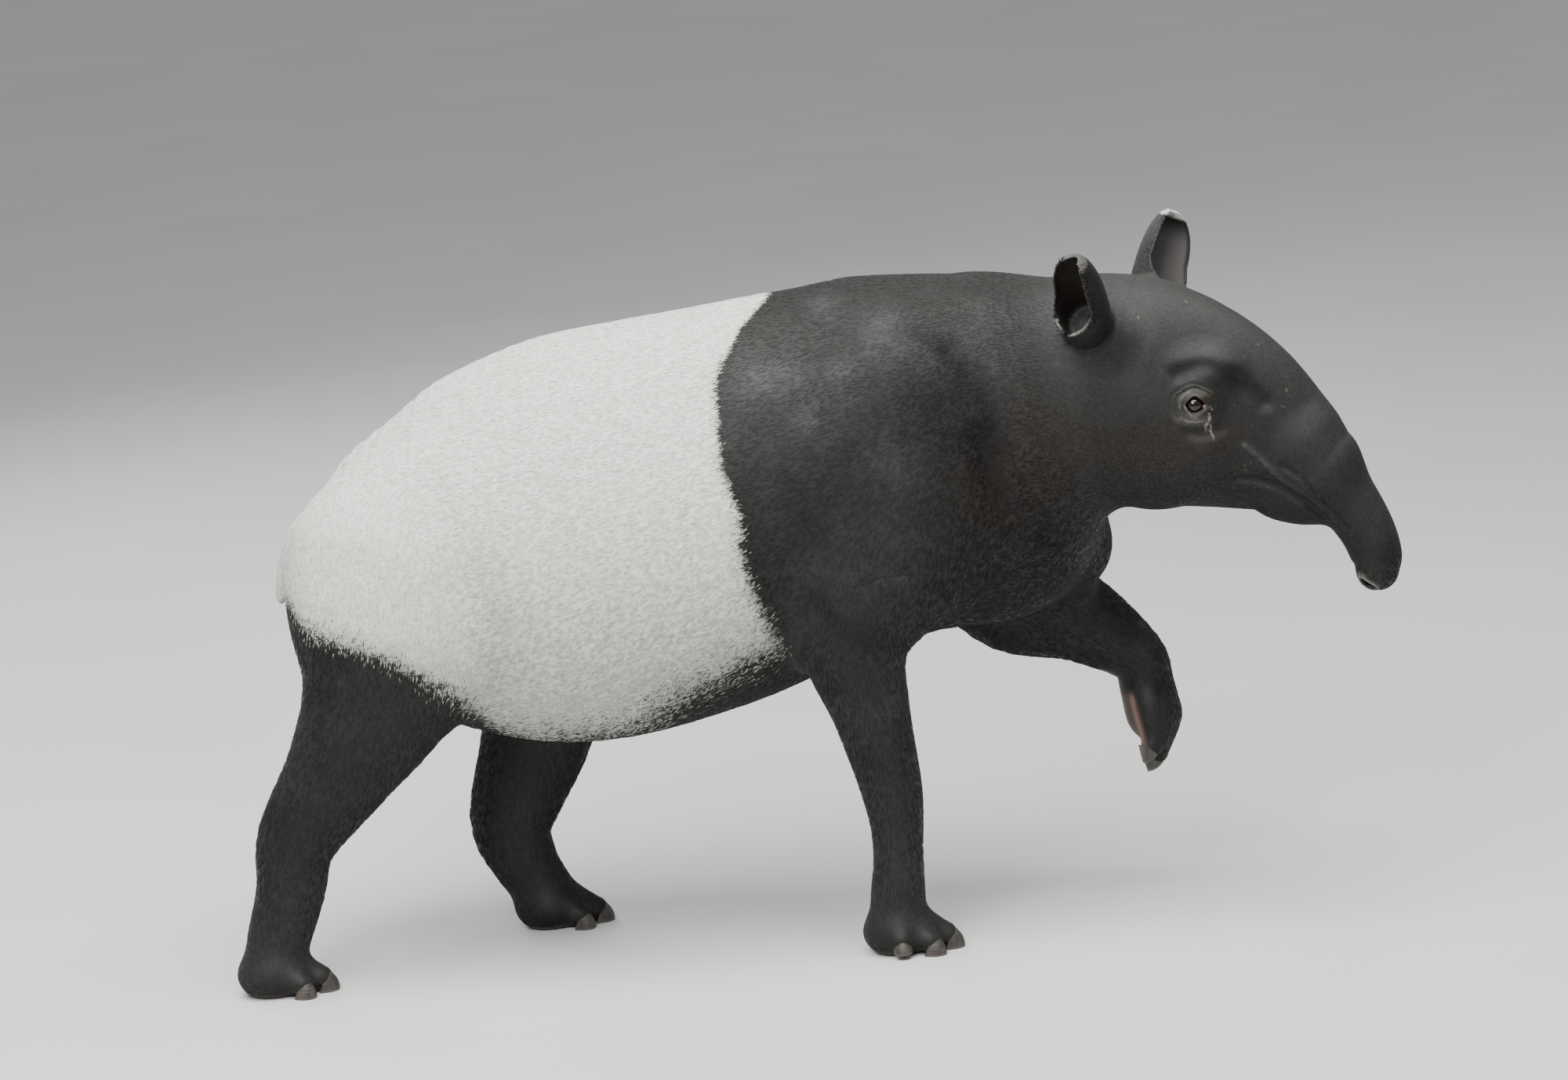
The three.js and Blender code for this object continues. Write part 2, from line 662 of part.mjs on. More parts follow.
// Nostrils run up and inwards into the tip of the proboscis, from the lower rear of its sides.
const NOSTRIL = { at: [390, 21, 507], run: [0.1, -0.62, 0.78], slit: [-0.75, 0, 0.65], halves: [18, 7, 12] };
function nostril(left) {
  const place = frame(
    head.at([NOSTRIL.at[0], left * NOSTRIL.at[1], NOSTRIL.at[2]]),
    head.turn([NOSTRIL.run[0], left * NOSTRIL.run[1], NOSTRIL.run[2]]),
    head.turn(NOSTRIL.slit),
  );
  return put(new THREE.SphereGeometry(1, 10, 8).scale(...NOSTRIL.halves), place);
}

// Hooves: the front of a pointed shoe round each toe's tip, flat underneath
function hoof(place, left, [degrees, reach, scale, lift]) {
  const a = radians(degrees) * left;
  const tip = frame(
    place.at([(reach + 1) * Math.cos(a), (reach + 1) * Math.sin(a), lift]),
    place.turn([Math.cos(a), Math.sin(a), 0]),
    place.z,
  );
  const half = HOOF_HALF_WIDTH * scale;
  const shell = new THREE.SphereGeometry(1, 14, 10).scale(HOOF_LENGTH * scale, half * 1.18, half * 1.9);
  const keep = new THREE.BoxGeometry(100, 100, 60).translate(50, 0, 30);
  const rake = new THREE.Matrix4().makeRotationY(radians(24));
  const behind = new THREE.BoxGeometry(100, 100, 120).translate(-50, 0, 0).applyMatrix4(rake);
  return put(shell, tip).intersect(put(keep.translate(-52, 0, 0), tip)).subtract(put(behind, tip));
}
const hooves = FEET.flatMap(({ name, place, left, toes }) =>
  Object.entries(toes).map(([toe, numbers]) => ({
    name: `hoof_${name.replace("_foot", "")}_${toe}`,
    foot: name,
    made: hoof(place, left, numbers),
  })),
);

const tail = limb(
  [
    [-690, 0, 712, 32, 26],
    [-732, 0, 676, 24, 20],
    [-764, 0, 628, 18, 15],
    [-776, 0, 584, 12, 11],
  ],
  { blend: 14 },
);
flesh.push(tail);

// Regions of the nodes, in the order in which they are taken from the flesh. Each is what lies ahead of its
// cut, within its bounds. The bounds are along the head for what belongs to the head.
const REGIONS = {
  proboscis: {
    step: 17,
    cut: head.at([334, 0, 600]),
    ahead: head.turn([0.99, 0, -0.13]),
    bounds: [[250, -100, 440], [480, 100, 780]],
    within: head,
  },
  head: {
    step: 19,
    cut: head.at([-26, 0, 800]),
    ahead: head.turn([1, 0, 0.13]),
    bounds: [[-90, -170, 572], [470, 170, 1030]],
    within: head,
  },
  tail: {
    step: 15,
    cut: [-728, 0, 668],
    ahead: [-0.85, 0, -0.4],
    bounds: [[-830, -30, 545], [-690, 30, 730]],
  },
  fore_foot_right: {
    step: 18,
    cut: [138, -STANCE, 92],
    ahead: [0, 0, -1],
    bounds: [[30, -250, -40], [260, -50, 130]],
  },
  fore_foot_left: {
    step: 18,
    cut: [524, 152, 300],
    ahead: [0.08, 0, -1],
    bounds: [[420, 60, 120], [660, 250, 330]],
  },
  hind_foot_right: {
    step: 18,
    cut: [-812, -STANCE, 92],
    ahead: [0, 0, -1],
    bounds: [[-930, -250, -40], [-700, -50, 130]],
  },
  hind_foot_left: {
    step: 18,
    cut: [-450, STANCE, 84],
    ahead: [0, 0, -1],
    bounds: [[-560, 50, -40], [-310, 250, 130]],
  },
  fore_leg_right: {
    step: 30,
    cut: [118, -150, 468],
    ahead: [0, -0.4, -1],
    bounds: [[44, -270, 60], [250, -62, 560]],
  },
  fore_leg_left: {
    step: 30,
    cut: [350, 150, 470],
    ahead: [0.8, 0.22, -0.5],
    bounds: [[250, 48, 260], [640, 260, 600]],
  },
  hind_leg_right: {
    step: 30,
    cut: [-606, -140, 452],
    ahead: [-0.3, -0.42, -0.8],
    bounds: [[-900, -300, 60], [-420, -46, 600]],
  },
  hind_leg_left: {
    step: 30,
    cut: [-480, 146, 430],
    ahead: [-0.1, 0.42, -0.9],
    bounds: [[-640, 56, 60], [-300, 300, 560]],
  },
  neck: {
    step: 34,
    cut: [352, 0, 800],
    ahead: [1, 0, 0.5],
    bounds: [[200, -260, 572], [560, 260, 1060]],
  },
};
const TORSO_STEP = 50;

const FLOOR = block([-1200, -500, -100], [1200, 500, 0], BODY);

const bodies = new Map();
const taken = [];
for (const [name, { step, ...where }] of Object.entries(REGIONS)) {
  const room = region(where);
  const { min, max } = room.boundingBox();
  const low = min.map((v) => v - 2.6 * step);
  const high = max.map((v) => v + 2.6 * step);
  let made = skin(low, high, step).intersect(room);
  for (const other of taken) made = made.subtract(other);
  bodies.set(name, largest(made.subtract(FLOOR)));
  taken.push(region(where, GAP));
}
let torso = skin([-860, -330, 270], [470, 330, 1060], TORSO_STEP);
for (const other of taken) torso = torso.subtract(other);
bodies.set("torso", largest(torso));

// The head gets its lids, eye sockets and mouth.
const eyes = new Map();
for (const [name, left] of [["eye_right", -1], ["eye_left", 1]]) {
  const place = eye(left);
  eyes.set(name, ball(place, EYE_RADIUS, BALL_RINGS));
  const cut = bodies
    .get("head")
    .add(ball(place, EYE_RADIUS + LID, BALL_RINGS))
    .subtract(slitOpening(place, OPENING))
    .subtract(ball(place, EYE_RADIUS + GAP, BALL_RINGS));
  bodies.set("head", cut);
}
bodies.set("head", largest(bodies.get("head").subtract(mouth())));
bodies.set("proboscis", largest(bodies.get("proboscis").subtract(nostril(-1)).subtract(nostril(1))));
for (const [name, made] of eyes) bodies.set(name, made);

// Ears stand on the head, hooves on their feet.
const around = swollen(bodies.get("head"), GAP);
for (const name of Object.keys(EARS)) bodies.set(name, largest(ear(EARS[name]).subtract(around)));
for (const { name, foot, made } of hooves) {
  const next = hooves.filter((h) => h.foot === foot && bodies.has(h.name));
  const apart = next.reduce((left, h) => left.subtract(swollen(bodies.get(h.name), GAP)), made);
  bodies.set(name, largest(apart.subtract(FLOOR)));
}
for (const { name } of FEET) {
  const shod = hooves.filter((h) => h.foot === name).map((h) => swollen(h.made, GAP));
  const sockets = shod.reduce((all, one) => all.add(one));
  bodies.set(name, largest(bodies.get(name).subtract(sockets)));
}

// Corners moved to a fine grid, and triangles that it closes up left out
function snapped(made, grain) {
  const g = geometry(made);
  const p = g.attributes.position;
  const near = (v) => Math.round(v / grain) * grain;
  for (let i = 0; i < p.count; i++) p.setXYZ(i, near(p.getX(i)), near(p.getY(i)), near(p.getZ(i)));
  const merged = mergeVertices(g, grain / 4);
  const corners = merged.index.array;
  const kept = new Map();
  for (let i = 0; i < corners.length; i += 3) {
    const three = [...corners.slice(i, i + 3)];
    if (new Set(three).size < 3) continue;
    const key = [...three].sort().join();
    if (kept.has(key)) kept.delete(key);
    else kept.set(key, three);
  }
  return merged.setIndex([...kept.values()].flat());
}

// Whether each edge has two triangles
function closed(g) {
  const uses = new Map();
  const corners = g.index.array;
  for (let i = 0; i < corners.length; i += 3)
    for (let j = 0; j < 3; j++) {
      const key = [corners[i + j], corners[i + ((j + 1) % 3)]].sort().join();
      uses.set(key, (uses.get(key) ?? 0) + 1);
    }
  return [...uses.values()].every((n) => n === 2);
}

const GRAINS = [0.02, 0.013, 0.03, 0.05, 0.08, 0.11, 0.15];
for (const [name, made] of bodies) {
  const found = GRAINS.map((grain) => snapped(made, grain)).find(closed);
  if (found) bodies.set(name, solid(found));
}

// Finishes
const COAT = new THREE.MeshStandardMaterial({ color: 0x23211f, roughness: 0.75, metalness: 0 });
const SADDLE = new THREE.MeshStandardMaterial({ color: 0xb9b6ae, roughness: 0.85, metalness: 0 });
const HORN = new THREE.MeshStandardMaterial({ color: 0x2b2826, roughness: 0.5, metalness: 0 });
const EYEBALL = new THREE.MeshStandardMaterial({ color: 0x120d0a, roughness: 0.08, metalness: 0 });
const finishOf = (name) =>
  name === "torso" ? SADDLE : name.startsWith("eye") ? EYEBALL : name.startsWith("hoof") ? HORN : COAT;

const tapir = new THREE.Group();
for (const [name, made] of bodies) {
  const mesh = new THREE.Mesh(geometry(made), finishOf(name));
  mesh.name = name;
  tapir.add(mesh);
}

// The part's origin is on the floor under the middle of the animal's own box.
const box = new THREE.Box3().setFromObject(tapir);
tapir.position.set(-(box.min.x + box.max.x) / 2, -(box.min.y + box.max.y) / 2, -box.min.z);

export default tapir;
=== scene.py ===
"""A Malayan tapir as a life-size still model: one seamless skin with a short sleek coat, eyes and hooves.

The skin is drawn from the same smooth flesh as the solids, in the animal's own millimetres: +X ahead, +Y to
its left, +Z up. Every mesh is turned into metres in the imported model's frame when it is made.
"""

import json
import math

import bpy
import mathutils
import numpy as np
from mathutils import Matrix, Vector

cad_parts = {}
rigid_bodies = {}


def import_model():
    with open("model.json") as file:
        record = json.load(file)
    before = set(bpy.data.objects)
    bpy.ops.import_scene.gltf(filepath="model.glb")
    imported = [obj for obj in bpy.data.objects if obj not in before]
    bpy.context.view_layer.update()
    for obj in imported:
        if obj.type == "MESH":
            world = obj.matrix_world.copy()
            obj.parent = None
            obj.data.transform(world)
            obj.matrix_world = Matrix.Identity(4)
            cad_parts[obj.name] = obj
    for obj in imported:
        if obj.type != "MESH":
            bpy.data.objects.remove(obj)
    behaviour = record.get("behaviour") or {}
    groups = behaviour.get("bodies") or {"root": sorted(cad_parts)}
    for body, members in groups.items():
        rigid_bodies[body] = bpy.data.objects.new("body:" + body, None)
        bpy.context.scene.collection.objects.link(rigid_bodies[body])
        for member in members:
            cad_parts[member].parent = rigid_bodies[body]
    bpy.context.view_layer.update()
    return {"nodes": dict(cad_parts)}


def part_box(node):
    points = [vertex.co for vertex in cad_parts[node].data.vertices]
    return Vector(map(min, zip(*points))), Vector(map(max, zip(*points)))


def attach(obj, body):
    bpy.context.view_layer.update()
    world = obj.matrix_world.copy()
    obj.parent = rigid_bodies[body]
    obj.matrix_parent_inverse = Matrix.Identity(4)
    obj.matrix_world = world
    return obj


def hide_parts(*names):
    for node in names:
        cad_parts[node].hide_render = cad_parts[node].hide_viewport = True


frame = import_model()

# Driving sizes, in millimetres
MM = 0.001
STANCE = 148  # from the middle plane to each foot
GIRTH = 246  # half the width of the belly
HEAD_YAW = 14  # degrees to the right
EYE_RADIUS = 17
EAR_LENGTH = 134
EAR_HALF_WIDTH = 40
EAR_WALL = 4.4
EAR_SUNK = 26
TOE_RADIUS = 22
COAT_DEPTH_BODY = 2.2  # how far the skin lies under the outline of the coat
COAT_DEPTH_FACE = 0.9
SPAN_STEPS = 5  # straight pieces between two stations of a limb
CREASE_STEPS = 4  # and between two points of a crease
CHUNK = 40000  # points worked out at a time
PROBE = 0.5  # step over which a slope is measured
COARSE = 7.5  # grid of the skin on the body
FINE = 3.0  # on the head
EYE_GRID = 1.4  # at the eyes
EAR_GRID = 2.1  # in the ears
FOOT_GRID = 4.0  # up the feet
TUFT_SHARE = 1.0


# Vectors and frames
def unit(a):
    a = np.asarray(a, float)
    return a / np.maximum(np.linalg.norm(a, axis=-1, keepdims=True), 1e-12)


def ramp(low, high, value):
    """From 0 to 1, smoothly, as the value goes from low to high."""
    t = np.clip((value - low) / (high - low), 0, 1)
    return t * t * (3 - 2 * t)


def bell(value, half_width):
    """One where the value is zero, falling away smoothly on both sides."""
    return np.exp(-((value / half_width) ** 2))


def mound(s, h, middle, halves):
    """A bell over a plane."""
    return np.exp(-(((s - middle[0]) / halves[0]) ** 2 + ((h - middle[1]) / halves[1]) ** 2))


def close_by(p, centre, reach):
    """Which points lie within reach of a centre."""
    return np.nonzero(np.linalg.norm(p - centre, axis=1) < reach)[0]


class Place:
    """An origin and three axes: +X along ahead, +Z near up."""

    def __init__(self, origin, ahead, up):
        self.origin = np.asarray(origin, float)
        x = unit(ahead)
        y = unit(np.cross(up, x))
        self.axes = np.array([x, y, np.cross(x, y)])

    def turn(self, v):
        return np.asarray(v, float) @ self.axes

    def at(self, v):
        return self.origin + self.turn(v)

    def local(self, p):
        return (p - self.origin) @ self.axes.T


BODY = Place((0, 0, 0), (1, 0, 0), (0, 0, 1))
YAW = math.radians(HEAD_YAW)
HEAD = Place((500, -25, 0), (math.cos(YAW), -math.sin(YAW), 0), (0, 0, 1))


def through(rows, steps):
    """A smooth curve through the rows of a table."""
    rows = np.asarray(rows, float)
    padded = np.vstack([rows[:1], rows, rows[-1:]])
    a, b, c, d = padded[:-3], padded[1:-2], padded[2:-1], padded[3:]
    made = []
    for t in np.arange(steps) / steps:
        bend = (3 * b - 3 * c + d - a) * t + 2 * a - 5 * b + 4 * c - d
        made.append(b + 0.5 * t * (c - a + t * bend))
    along = np.stack(made, 1).reshape(-1, rows.shape[1])
    return np.vstack([along, rows[-1:]])


# Pieces of the flesh, each with a signed distance
def oval_distance(u, r):
    k0 = np.sqrt(((u / r) ** 2).sum(-1))
    k1 = np.sqrt(((u / r ** 2) ** 2).sum(-1))
    return np.where(k1 > 1e-9, k0 * (k0 - 1) / np.maximum(k1, 1e-9), -r.min(-1))


def smooth_min(a, b, k):
    h = np.maximum(k - np.abs(a - b), 0) / k
    return np.minimum(a, b) - h * h * k * 0.25


def smooth_max(a, b, k):
    return -smooth_min(-a, -b, k)


class Line:
    """A row of points, with the nearest stretch of it for any point."""

    def __init__(self, points):
        self.points = np.asarray(points, float)
        self.centre = self.points.mean(0)
        self.start = (self.points[:-1] - self.centre).astype(np.float32)
        self.step = np.diff(self.points, axis=0).astype(np.float32)
        self.long = (self.step ** 2).sum(1)
        self.start_step = (self.start * self.step).sum(1)
        self.start_2 = (self.start ** 2).sum(1)

    def nearest(self, p):
        p = (p - self.centre).astype(np.float32)
        off = p @ self.step.T - self.start_step
        share = np.clip(off / self.long, 0, 1)
        gap = share * (share * self.long - 2 * off) + self.start_2 - 2 * (p @ self.start.T)
        at = gap.argmin(1)
        share = share[np.arange(len(p)), at].astype(float)
        return at, share

    def spot(self, p):
        """The nearest place on the line, and the share of the line before it."""
        at, share = self.nearest(p)
        place = self.points[at] + (self.points[at + 1] - self.points[at]) * share[:, None]
        return place, (at + share) / (len(self.points) - 1)

    def gap(self, p):
        return np.linalg.norm(p - self.spot(p)[0], axis=1)


class Limb(Line):
    """A row of stations (x, y, z, half width, half depth), melted into the rest over blend. The hair lies
    along the stations, or against them where lie is -1."""

    def __init__(self, stations, side=(0, 1, 0), egg=0.0, blend=60, place=BODY, lie=1, steps=SPAN_STEPS):
        rows = through(stations, steps)
        super().__init__(place.at(rows[:, :3]))
        self.wide, self.deep = rows[:, 3], rows[:, 4]
        self.egg, self.blend, self.lie = egg, blend, lie
        after = np.vstack([self.points[1:], self.points[-1:]])
        before = np.vstack([self.points[:1], self.points[:-1]])
        across = place.turn(side)
        self.along = unit(after - before)
        self.side = unit(across - self.along * (self.along @ across)[:, None])
        self.front = np.cross(self.along, self.side)
        widest = np.maximum(self.wide * (1 + abs(egg)), self.deep)
        self.reach = (np.linalg.norm(self.points - self.centre, axis=1) + widest).max()

    def section(self, p):
        at, share = self.nearest(p)
        k = share[:, None]
        blend = lambda rows: rows[at] + (rows[at + 1] - rows[at]) * (k if rows.ndim > 1 else share)
        away = p - blend(self.points)
        front = (away * blend(self.front)).sum(1)
        aside = (away * blend(self.side)).sum(1)
        last = len(self.points) - 2
        ends = ((at == 0) & (share == 0)) | ((at == last) & (share == 1))
        along = blend(self.along)
        past = np.where(ends, (away * along).sum(1), 0)
        return aside, front, past, blend(self.wide), blend(self.deep), along, at + share

    def distance(self, p):
        aside, front, past, wide, deep, _, _ = self.section(p)
        width = wide * (1 + self.egg * np.clip(front / deep, -1, 1))
        return oval_distance(
            np.stack([aside, front, past], 1), np.stack([width, deep, np.minimum(wide, deep)], 1)
        )


class Muscle:
    """An ovoid with half sizes along its own axes."""

    def __init__(self, middle, halves, ahead=(1, 0, 0), up=(0, 0, 1), blend=60, place=BODY):
        self.axes = Place(place.at(middle), place.turn(ahead), place.turn(up))
        self.centre, self.halves, self.blend = self.axes.origin, np.array(halves, float), blend
        self.reach = max(halves)

    def distance(self, p):
        return oval_distance(self.axes.local(p), self.halves)


class Detail:
    """Something small that changes the skin's distance only within reach of its centre."""

    def add(self, p, d):
        near = close_by(p, self.centre, self.reach)
        if len(near):
            d[near] = self.changed(p[near], d[near])


class Crease(Line, Detail):
    """A soft furrow along a line on the skin, or a fold where its depth is below zero."""

    def __init__(self, points, depth, half_width, place=BODY):
        super().__init__(place.at(through(points, CREASE_STEPS)))
        self.depth, self.half_width = depth, half_width
        self.reach = np.linalg.norm(self.points - self.centre, axis=1).max() + 3 * half_width

    def changed(self, p, d):
        return d + self.depth * bell(self.gap(p), self.half_width)


# The flesh, as in the solids
trunk = Limb(
    [
        [-700, 0, 616, 66, 100],
        [-620, 0, 624, 150, 186],
        [-500, 0, 626, 206, 268],
        [-330, 0, 637, GIRTH, 312],
        [-140, 0, 667, 240, 308],
        [40, 0, 708, 214, 286],
        [200, 0, 730, 186, 270],
        [330, 0, 752, 158, 232],
    ],
    egg=-0.12, blend=60, lie=-1,
)
neck = Limb(
    [
        [180, 0, 756, 146, 222],
        [300, -2, 778, 136, 208],
        [400, -8, 798, 124, 186],
        [500, -27, 806, 112, 172],
        [560, -40, 804, 100, 160],
    ],
    egg=-0.06, blend=70, lie=-1, steps=10,
)
skull = Limb(
    [
        [-10, 0, 812, 100, 160],
        [70, 0, 806, 96, 166],
        [140, 0, 782, 84, 158],
        [210, 0, 748, 70, 138],
        [275, 0, 708, 57, 106],
        [325, 0, 670, 47, 72],
    ],
    egg=-0.18, blend=40, place=HEAD, lie=-1, steps=24,
)
proboscis = Limb(
    [
        [300, 0, 708, 44, 62],
        [350, 0, 650, 40, 50],
        [386, 0, 592, 37, 43],
        [401, 0, 548, 35, 39],
        [401, 0, 524, 34, 33],
    ],
    blend=34, place=HEAD, lie=-1, steps=12,
)
hind_right = Limb(
    [
        [-560, -128, 660, 92, 158],
        [-588, -152, 550, 84, 150],
        [-622, -160, 445, 68, 118],
        [-690, -155, 340, 54, 84],
        [-765, -150, 240, 45, 63],
        [-785, -STANCE, 160, 41, 54],
        [-812, -STANCE, 84, 42, 49],
        [-826, -STANCE, 34, 44, 46],
    ],
    blend=56,
)
hind_left = Limb(
    [
        [-540, 122, 650, 92, 158],
        [-490, 152, 540, 88, 150],
        [-440, 164, 425, 72, 122],
        [-428, 158, 320, 58, 92],
        [-482, 150, 178, 46, 68],
        [-470, STANCE, 108, 42, 54],
        [-444, STANCE, 60, 42, 46],
        [-434, STANCE, 34, 44, 44],
    ],
    blend=56,
)
fore_right = Limb(
    [
        [215, -118, 680, 84, 128],
        [140, -148, 560, 74, 112],
        [108, -156, 470, 60, 82],
        [122, -153, 370, 50, 60],
        [142, -150, 245, 43, 47],
        [143, -STANCE, 160, 40, 39],
        [136, -STANCE, 84, 42, 42],
        [132, -STANCE, 34, 46, 42],
    ],
    blend=50,
)
fore_left = Limb(
    [
        [330, 96, 640, 84, 122],
        [300, 130, 530, 78, 104],
        [330, 150, 462, 70, 84],
        [420, 156, 428, 58, 72],
        [506, 156, 362, 45, 48],
        [522, 154, 312, 41, 43],
        [528, 152, 272, 41, 40],
    ],
    blend=50,
)
tail = Limb(
    [
        [-690, 0, 712, 32, 26],
        [-732, 0, 676, 24, 20],
        [-764, 0, 628, 18, 15],
        [-776, 0, 584, 12, 11],
    ],
    blend=14,
)

# Masses of the haunches, shoulders and breast: middle, half sizes, direction of the first
masses = [
    Muscle([-556, -124, 622], [178, 84, 172], ahead=[0.9, 0, 0.35], blend=110),
    Muscle([-540, 124, 622], [178, 84, 172], ahead=[0.9, 0, 0.35], blend=110),
    Muscle([160, -126, 742], [178, 56, 116], ahead=[0.45, 0, 1], blend=90),
    Muscle([205, 126, 742], [178, 56, 116], ahead=[0.5, 0, 1], blend=90),
    Muscle([392, 96, 570], [104, 66, 92], ahead=[1, 0, -0.8], blend=60),
    Muscle([330, 0, 590], [118, 120, 120], blend=70),
]

# Paired swellings of the head: cheek, brow, eye ring, ear mound, upper and lower lip
FACE = [
    ([95, 62, 725], [92, 38, 82], [1, 0, 0], 50),
    ([168, 52, 838], [48, 24, 26], [1, 0, 0], 36),
    ([160, 66, 795], [34, 22, 30], [1, 0, 0], 24),
    ([28, 74, 900], [42, 22, 38], [1, 0, 0], 34),
    ([296, 30, 668], [52, 18, 19], [0.9, -0.1, -0.42], 18),
    ([284, 22, 622], [48, 20, 20], [0.98, -0.1, -0.14], 24),
]


def mirrored(v, left):
    return [v[0], left * v[1], v[2]]


face = [
    Muscle(mirrored(at, left), halves, ahead=mirrored(ahead, left), blend=blend, place=HEAD)
    for at, halves, ahead, blend in FACE
    for left in (-1, 1)
]

# Feet: a toe is (degrees outwards, reach, share of TOE_RADIUS, height of its hoof above the sole)
FORE_TOES = {
    "inner": (-37, 58, 0.95, 0),
    "middle": (-1, 65, 1.1, 0),
    "outer": (35, 58, 0.95, 0),
    "side": (82, 50, 0.74, 8),
}
HIND_TOES = {"inner": (-37, 58, 0.94, 0), "middle": (0, 67, 1.1, 0), "outer": (37, 58, 0.94, 0)}


FOOT_REACH = 95


def planted(x, left):
    return Place((x, left * STANCE, 0), (1, left * 0.05, 0), (0, 0, 1))


FEET = {
    "fore_right": (planted(136, -1), -1, FORE_TOES),
    "hind_right": (planted(-822, -1), -1, HIND_TOES),
    "hind_left": (planted(-434, 1), 1, HIND_TOES),
    "fore_left": (Place((497, 153, 268), (0.17, 0.04, -1), (1, 0, 0.17)), 1, FORE_TOES),
}


def toe(place, left, degrees, reach, scale, lift):
    a = math.radians(degrees) * left
    wide = TOE_RADIUS * scale
    rows = [
        [12, 46, wide, wide],
        [reach * 0.62, 32, wide, wide],
        [reach, 19, wide * 0.9, wide * 0.86],
    ]
    stations = [[r * math.cos(a), r * math.sin(a), z + lift, w, d] for r, z, w, d in rows]
    return Limb(stations, side=(-math.sin(a), math.cos(a), 0), blend=12, place=place)


pads = []
for place, left, toes in FEET.values():
    pads.append(Muscle([-2, 0, 30], [54, 50, 34], place=place, blend=26))
    pads += [toe(place, left, *numbers) for numbers in toes.values()]

legs = [hind_right, hind_left, fore_right, fore_left]
FLESH = [trunk, neck, skull, *masses, *legs, proboscis, *face, *pads, tail]

# The solids' own creases: neck, elbow and thighs, then those of the mouth and cheek on both sides
MOUTH_CORNER = [[252, 57, 676], [300, 52, 652], [338, 44, 612]]
CHEEK_HOLLOW = [[140, 84, 768], [168, 92, 752], [204, 80, 758]]
SOLID_CREASES = [
    Crease([[330, -170, 770], [352, -172, 690], [392, -150, 630], [430, -120, 600]], 9, 22),
    Crease([[60, -214, 560], [110, -222, 500], [190, -200, 480]], 7, 16),
    Crease([[-470, -250, 470], [-440, -246, 400], [-480, -205, 350]], 7, 22),
    Crease([[-470, 250, 470], [-430, 246, 400], [-440, 205, 350]], 7, 22),
]
for row, depth, half_width in ((MOUTH_CORNER, 5, 12), (CHEEK_HOLLOW, 4, 9)):
    for left in (-1, 1):
        SOLID_CREASES.append(Crease([mirrored(at, left) for at in row], depth, half_width, HEAD))


def chunked(measure):
    """A measure that takes its points a chunk at a time, so that whole pieces can be passed over."""

    def measured(p):
        out = np.empty(len(p))
        for i in range(0, len(p), CHUNK):
            out[i : i + CHUNK] = measure(p[i : i + CHUNK])
        return out

    return measured


@chunked
def flesh(p):
    """The outline of the solids."""
    d = np.full(len(p), 1e6)
    for piece in FLESH:
        near = np.nonzero(np.linalg.norm(p - piece.centre, axis=1) - piece.reach <= d + piece.blend)[0]
        if len(near):
            d[near] = smooth_min(d[near], piece.distance(p[near]), piece.blend)
    for crease in SOLID_CREASES:
        crease.add(p, d)
    return d


LANDING_STEPS, LANDING_SHARE = 80, 0.7  # each step is a share of the distance left


def landing(start, direction):
    """Where a line from outside meets the flesh."""
    p = np.atleast_2d(np.asarray(start, float))
    way = unit(np.atleast_2d(direction))
    for _ in range(LANDING_STEPS):
        p = p + way * LANDING_SHARE * flesh(p)[:, None]
    return p


# Ears
EAR_WIDEST = 0.38  # share of the length at which an ear is widest


def ear_radius(v):
    beyond = np.clip((v - EAR_WIDEST) / (1.01 - EAR_WIDEST), 0, 1)
    below = np.clip((EAR_WIDEST - v) / EAR_WIDEST, 0, 1)
    return EAR_HALF_WIDTH * np.where(v > EAR_WIDEST, np.sqrt(1 - beyond ** 2.6), 1 - 0.3 * below ** 2)


class Ear(Detail):
    """A leaf rolled about its length into a cup, with the ear's canal at its foot."""

    BLEND = 9

    def __init__(self, left, root, up, opened):
        rise = unit(mirrored(up, left))
        toward = np.array(mirrored(opened, left), float)
        toward -= rise * (toward @ rise)
        self.place = Place(HEAD.at(mirrored(root, left)), HEAD.turn(toward), HEAD.turn(rise))
        self.centre = self.place.at([0, 0, EAR_LENGTH / 2])
        self.reach = EAR_LENGTH / 2 + EAR_HALF_WIDTH + self.BLEND
        _, across, along = self.place.axes
        self.canal = Muscle(self.place.at([-4, 0, 12]), [9, 9, 26], ahead=across, up=along)

    def leaf(self, p):
        """Share of the length, share of the roll, distance from the sheet, and whether inside the cup."""
        q = self.place.local(p)
        length = EAR_LENGTH + EAR_SUNK
        v = np.clip((q[:, 2] + EAR_SUNK) / length, 0, 1)
        over = np.abs(q[:, 2] + EAR_SUNK - v * length)
        radius = ear_radius(v)
        slope = (ear_radius(np.clip(v + 0.01, 0, 1)) - ear_radius(v - 0.01)) / (0.02 * length)
        shut = 1 - np.clip((v - 0.24) / 0.3, 0, 1)
        roll = np.radians(104 + 68 * shut ** 1.6)
        x, y = q[:, 0] - 0.35 * radius, q[:, 1]
        r = np.hypot(x, y)
        a = np.arctan2(np.abs(y), -x)
        sheet = np.abs(r - radius) / np.sqrt(1 + np.clip(slope, -3, 3) ** 2)
        rim = np.sqrt(np.maximum(r * r + radius ** 2 - 2 * r * radius * np.cos(a - roll), 0))
        gap = np.where(a <= roll, sheet, rim)
        return v, a / roll, np.hypot(gap, over), r < radius

    def changed(self, p, d):
        v, share, gap, _ = self.leaf(p)
        thick = EAR_WALL / 2 + ramp(0.35, 0, v) - 0.4 * ramp(0.7, 1, v)
        thick -= 0.9 * ramp(0.6, 1.0, share) * ramp(0.2, 0.4, v)
        joined = smooth_min(d, gap - thick, self.BLEND)
        return smooth_max(joined, -self.canal.distance(p), 5)


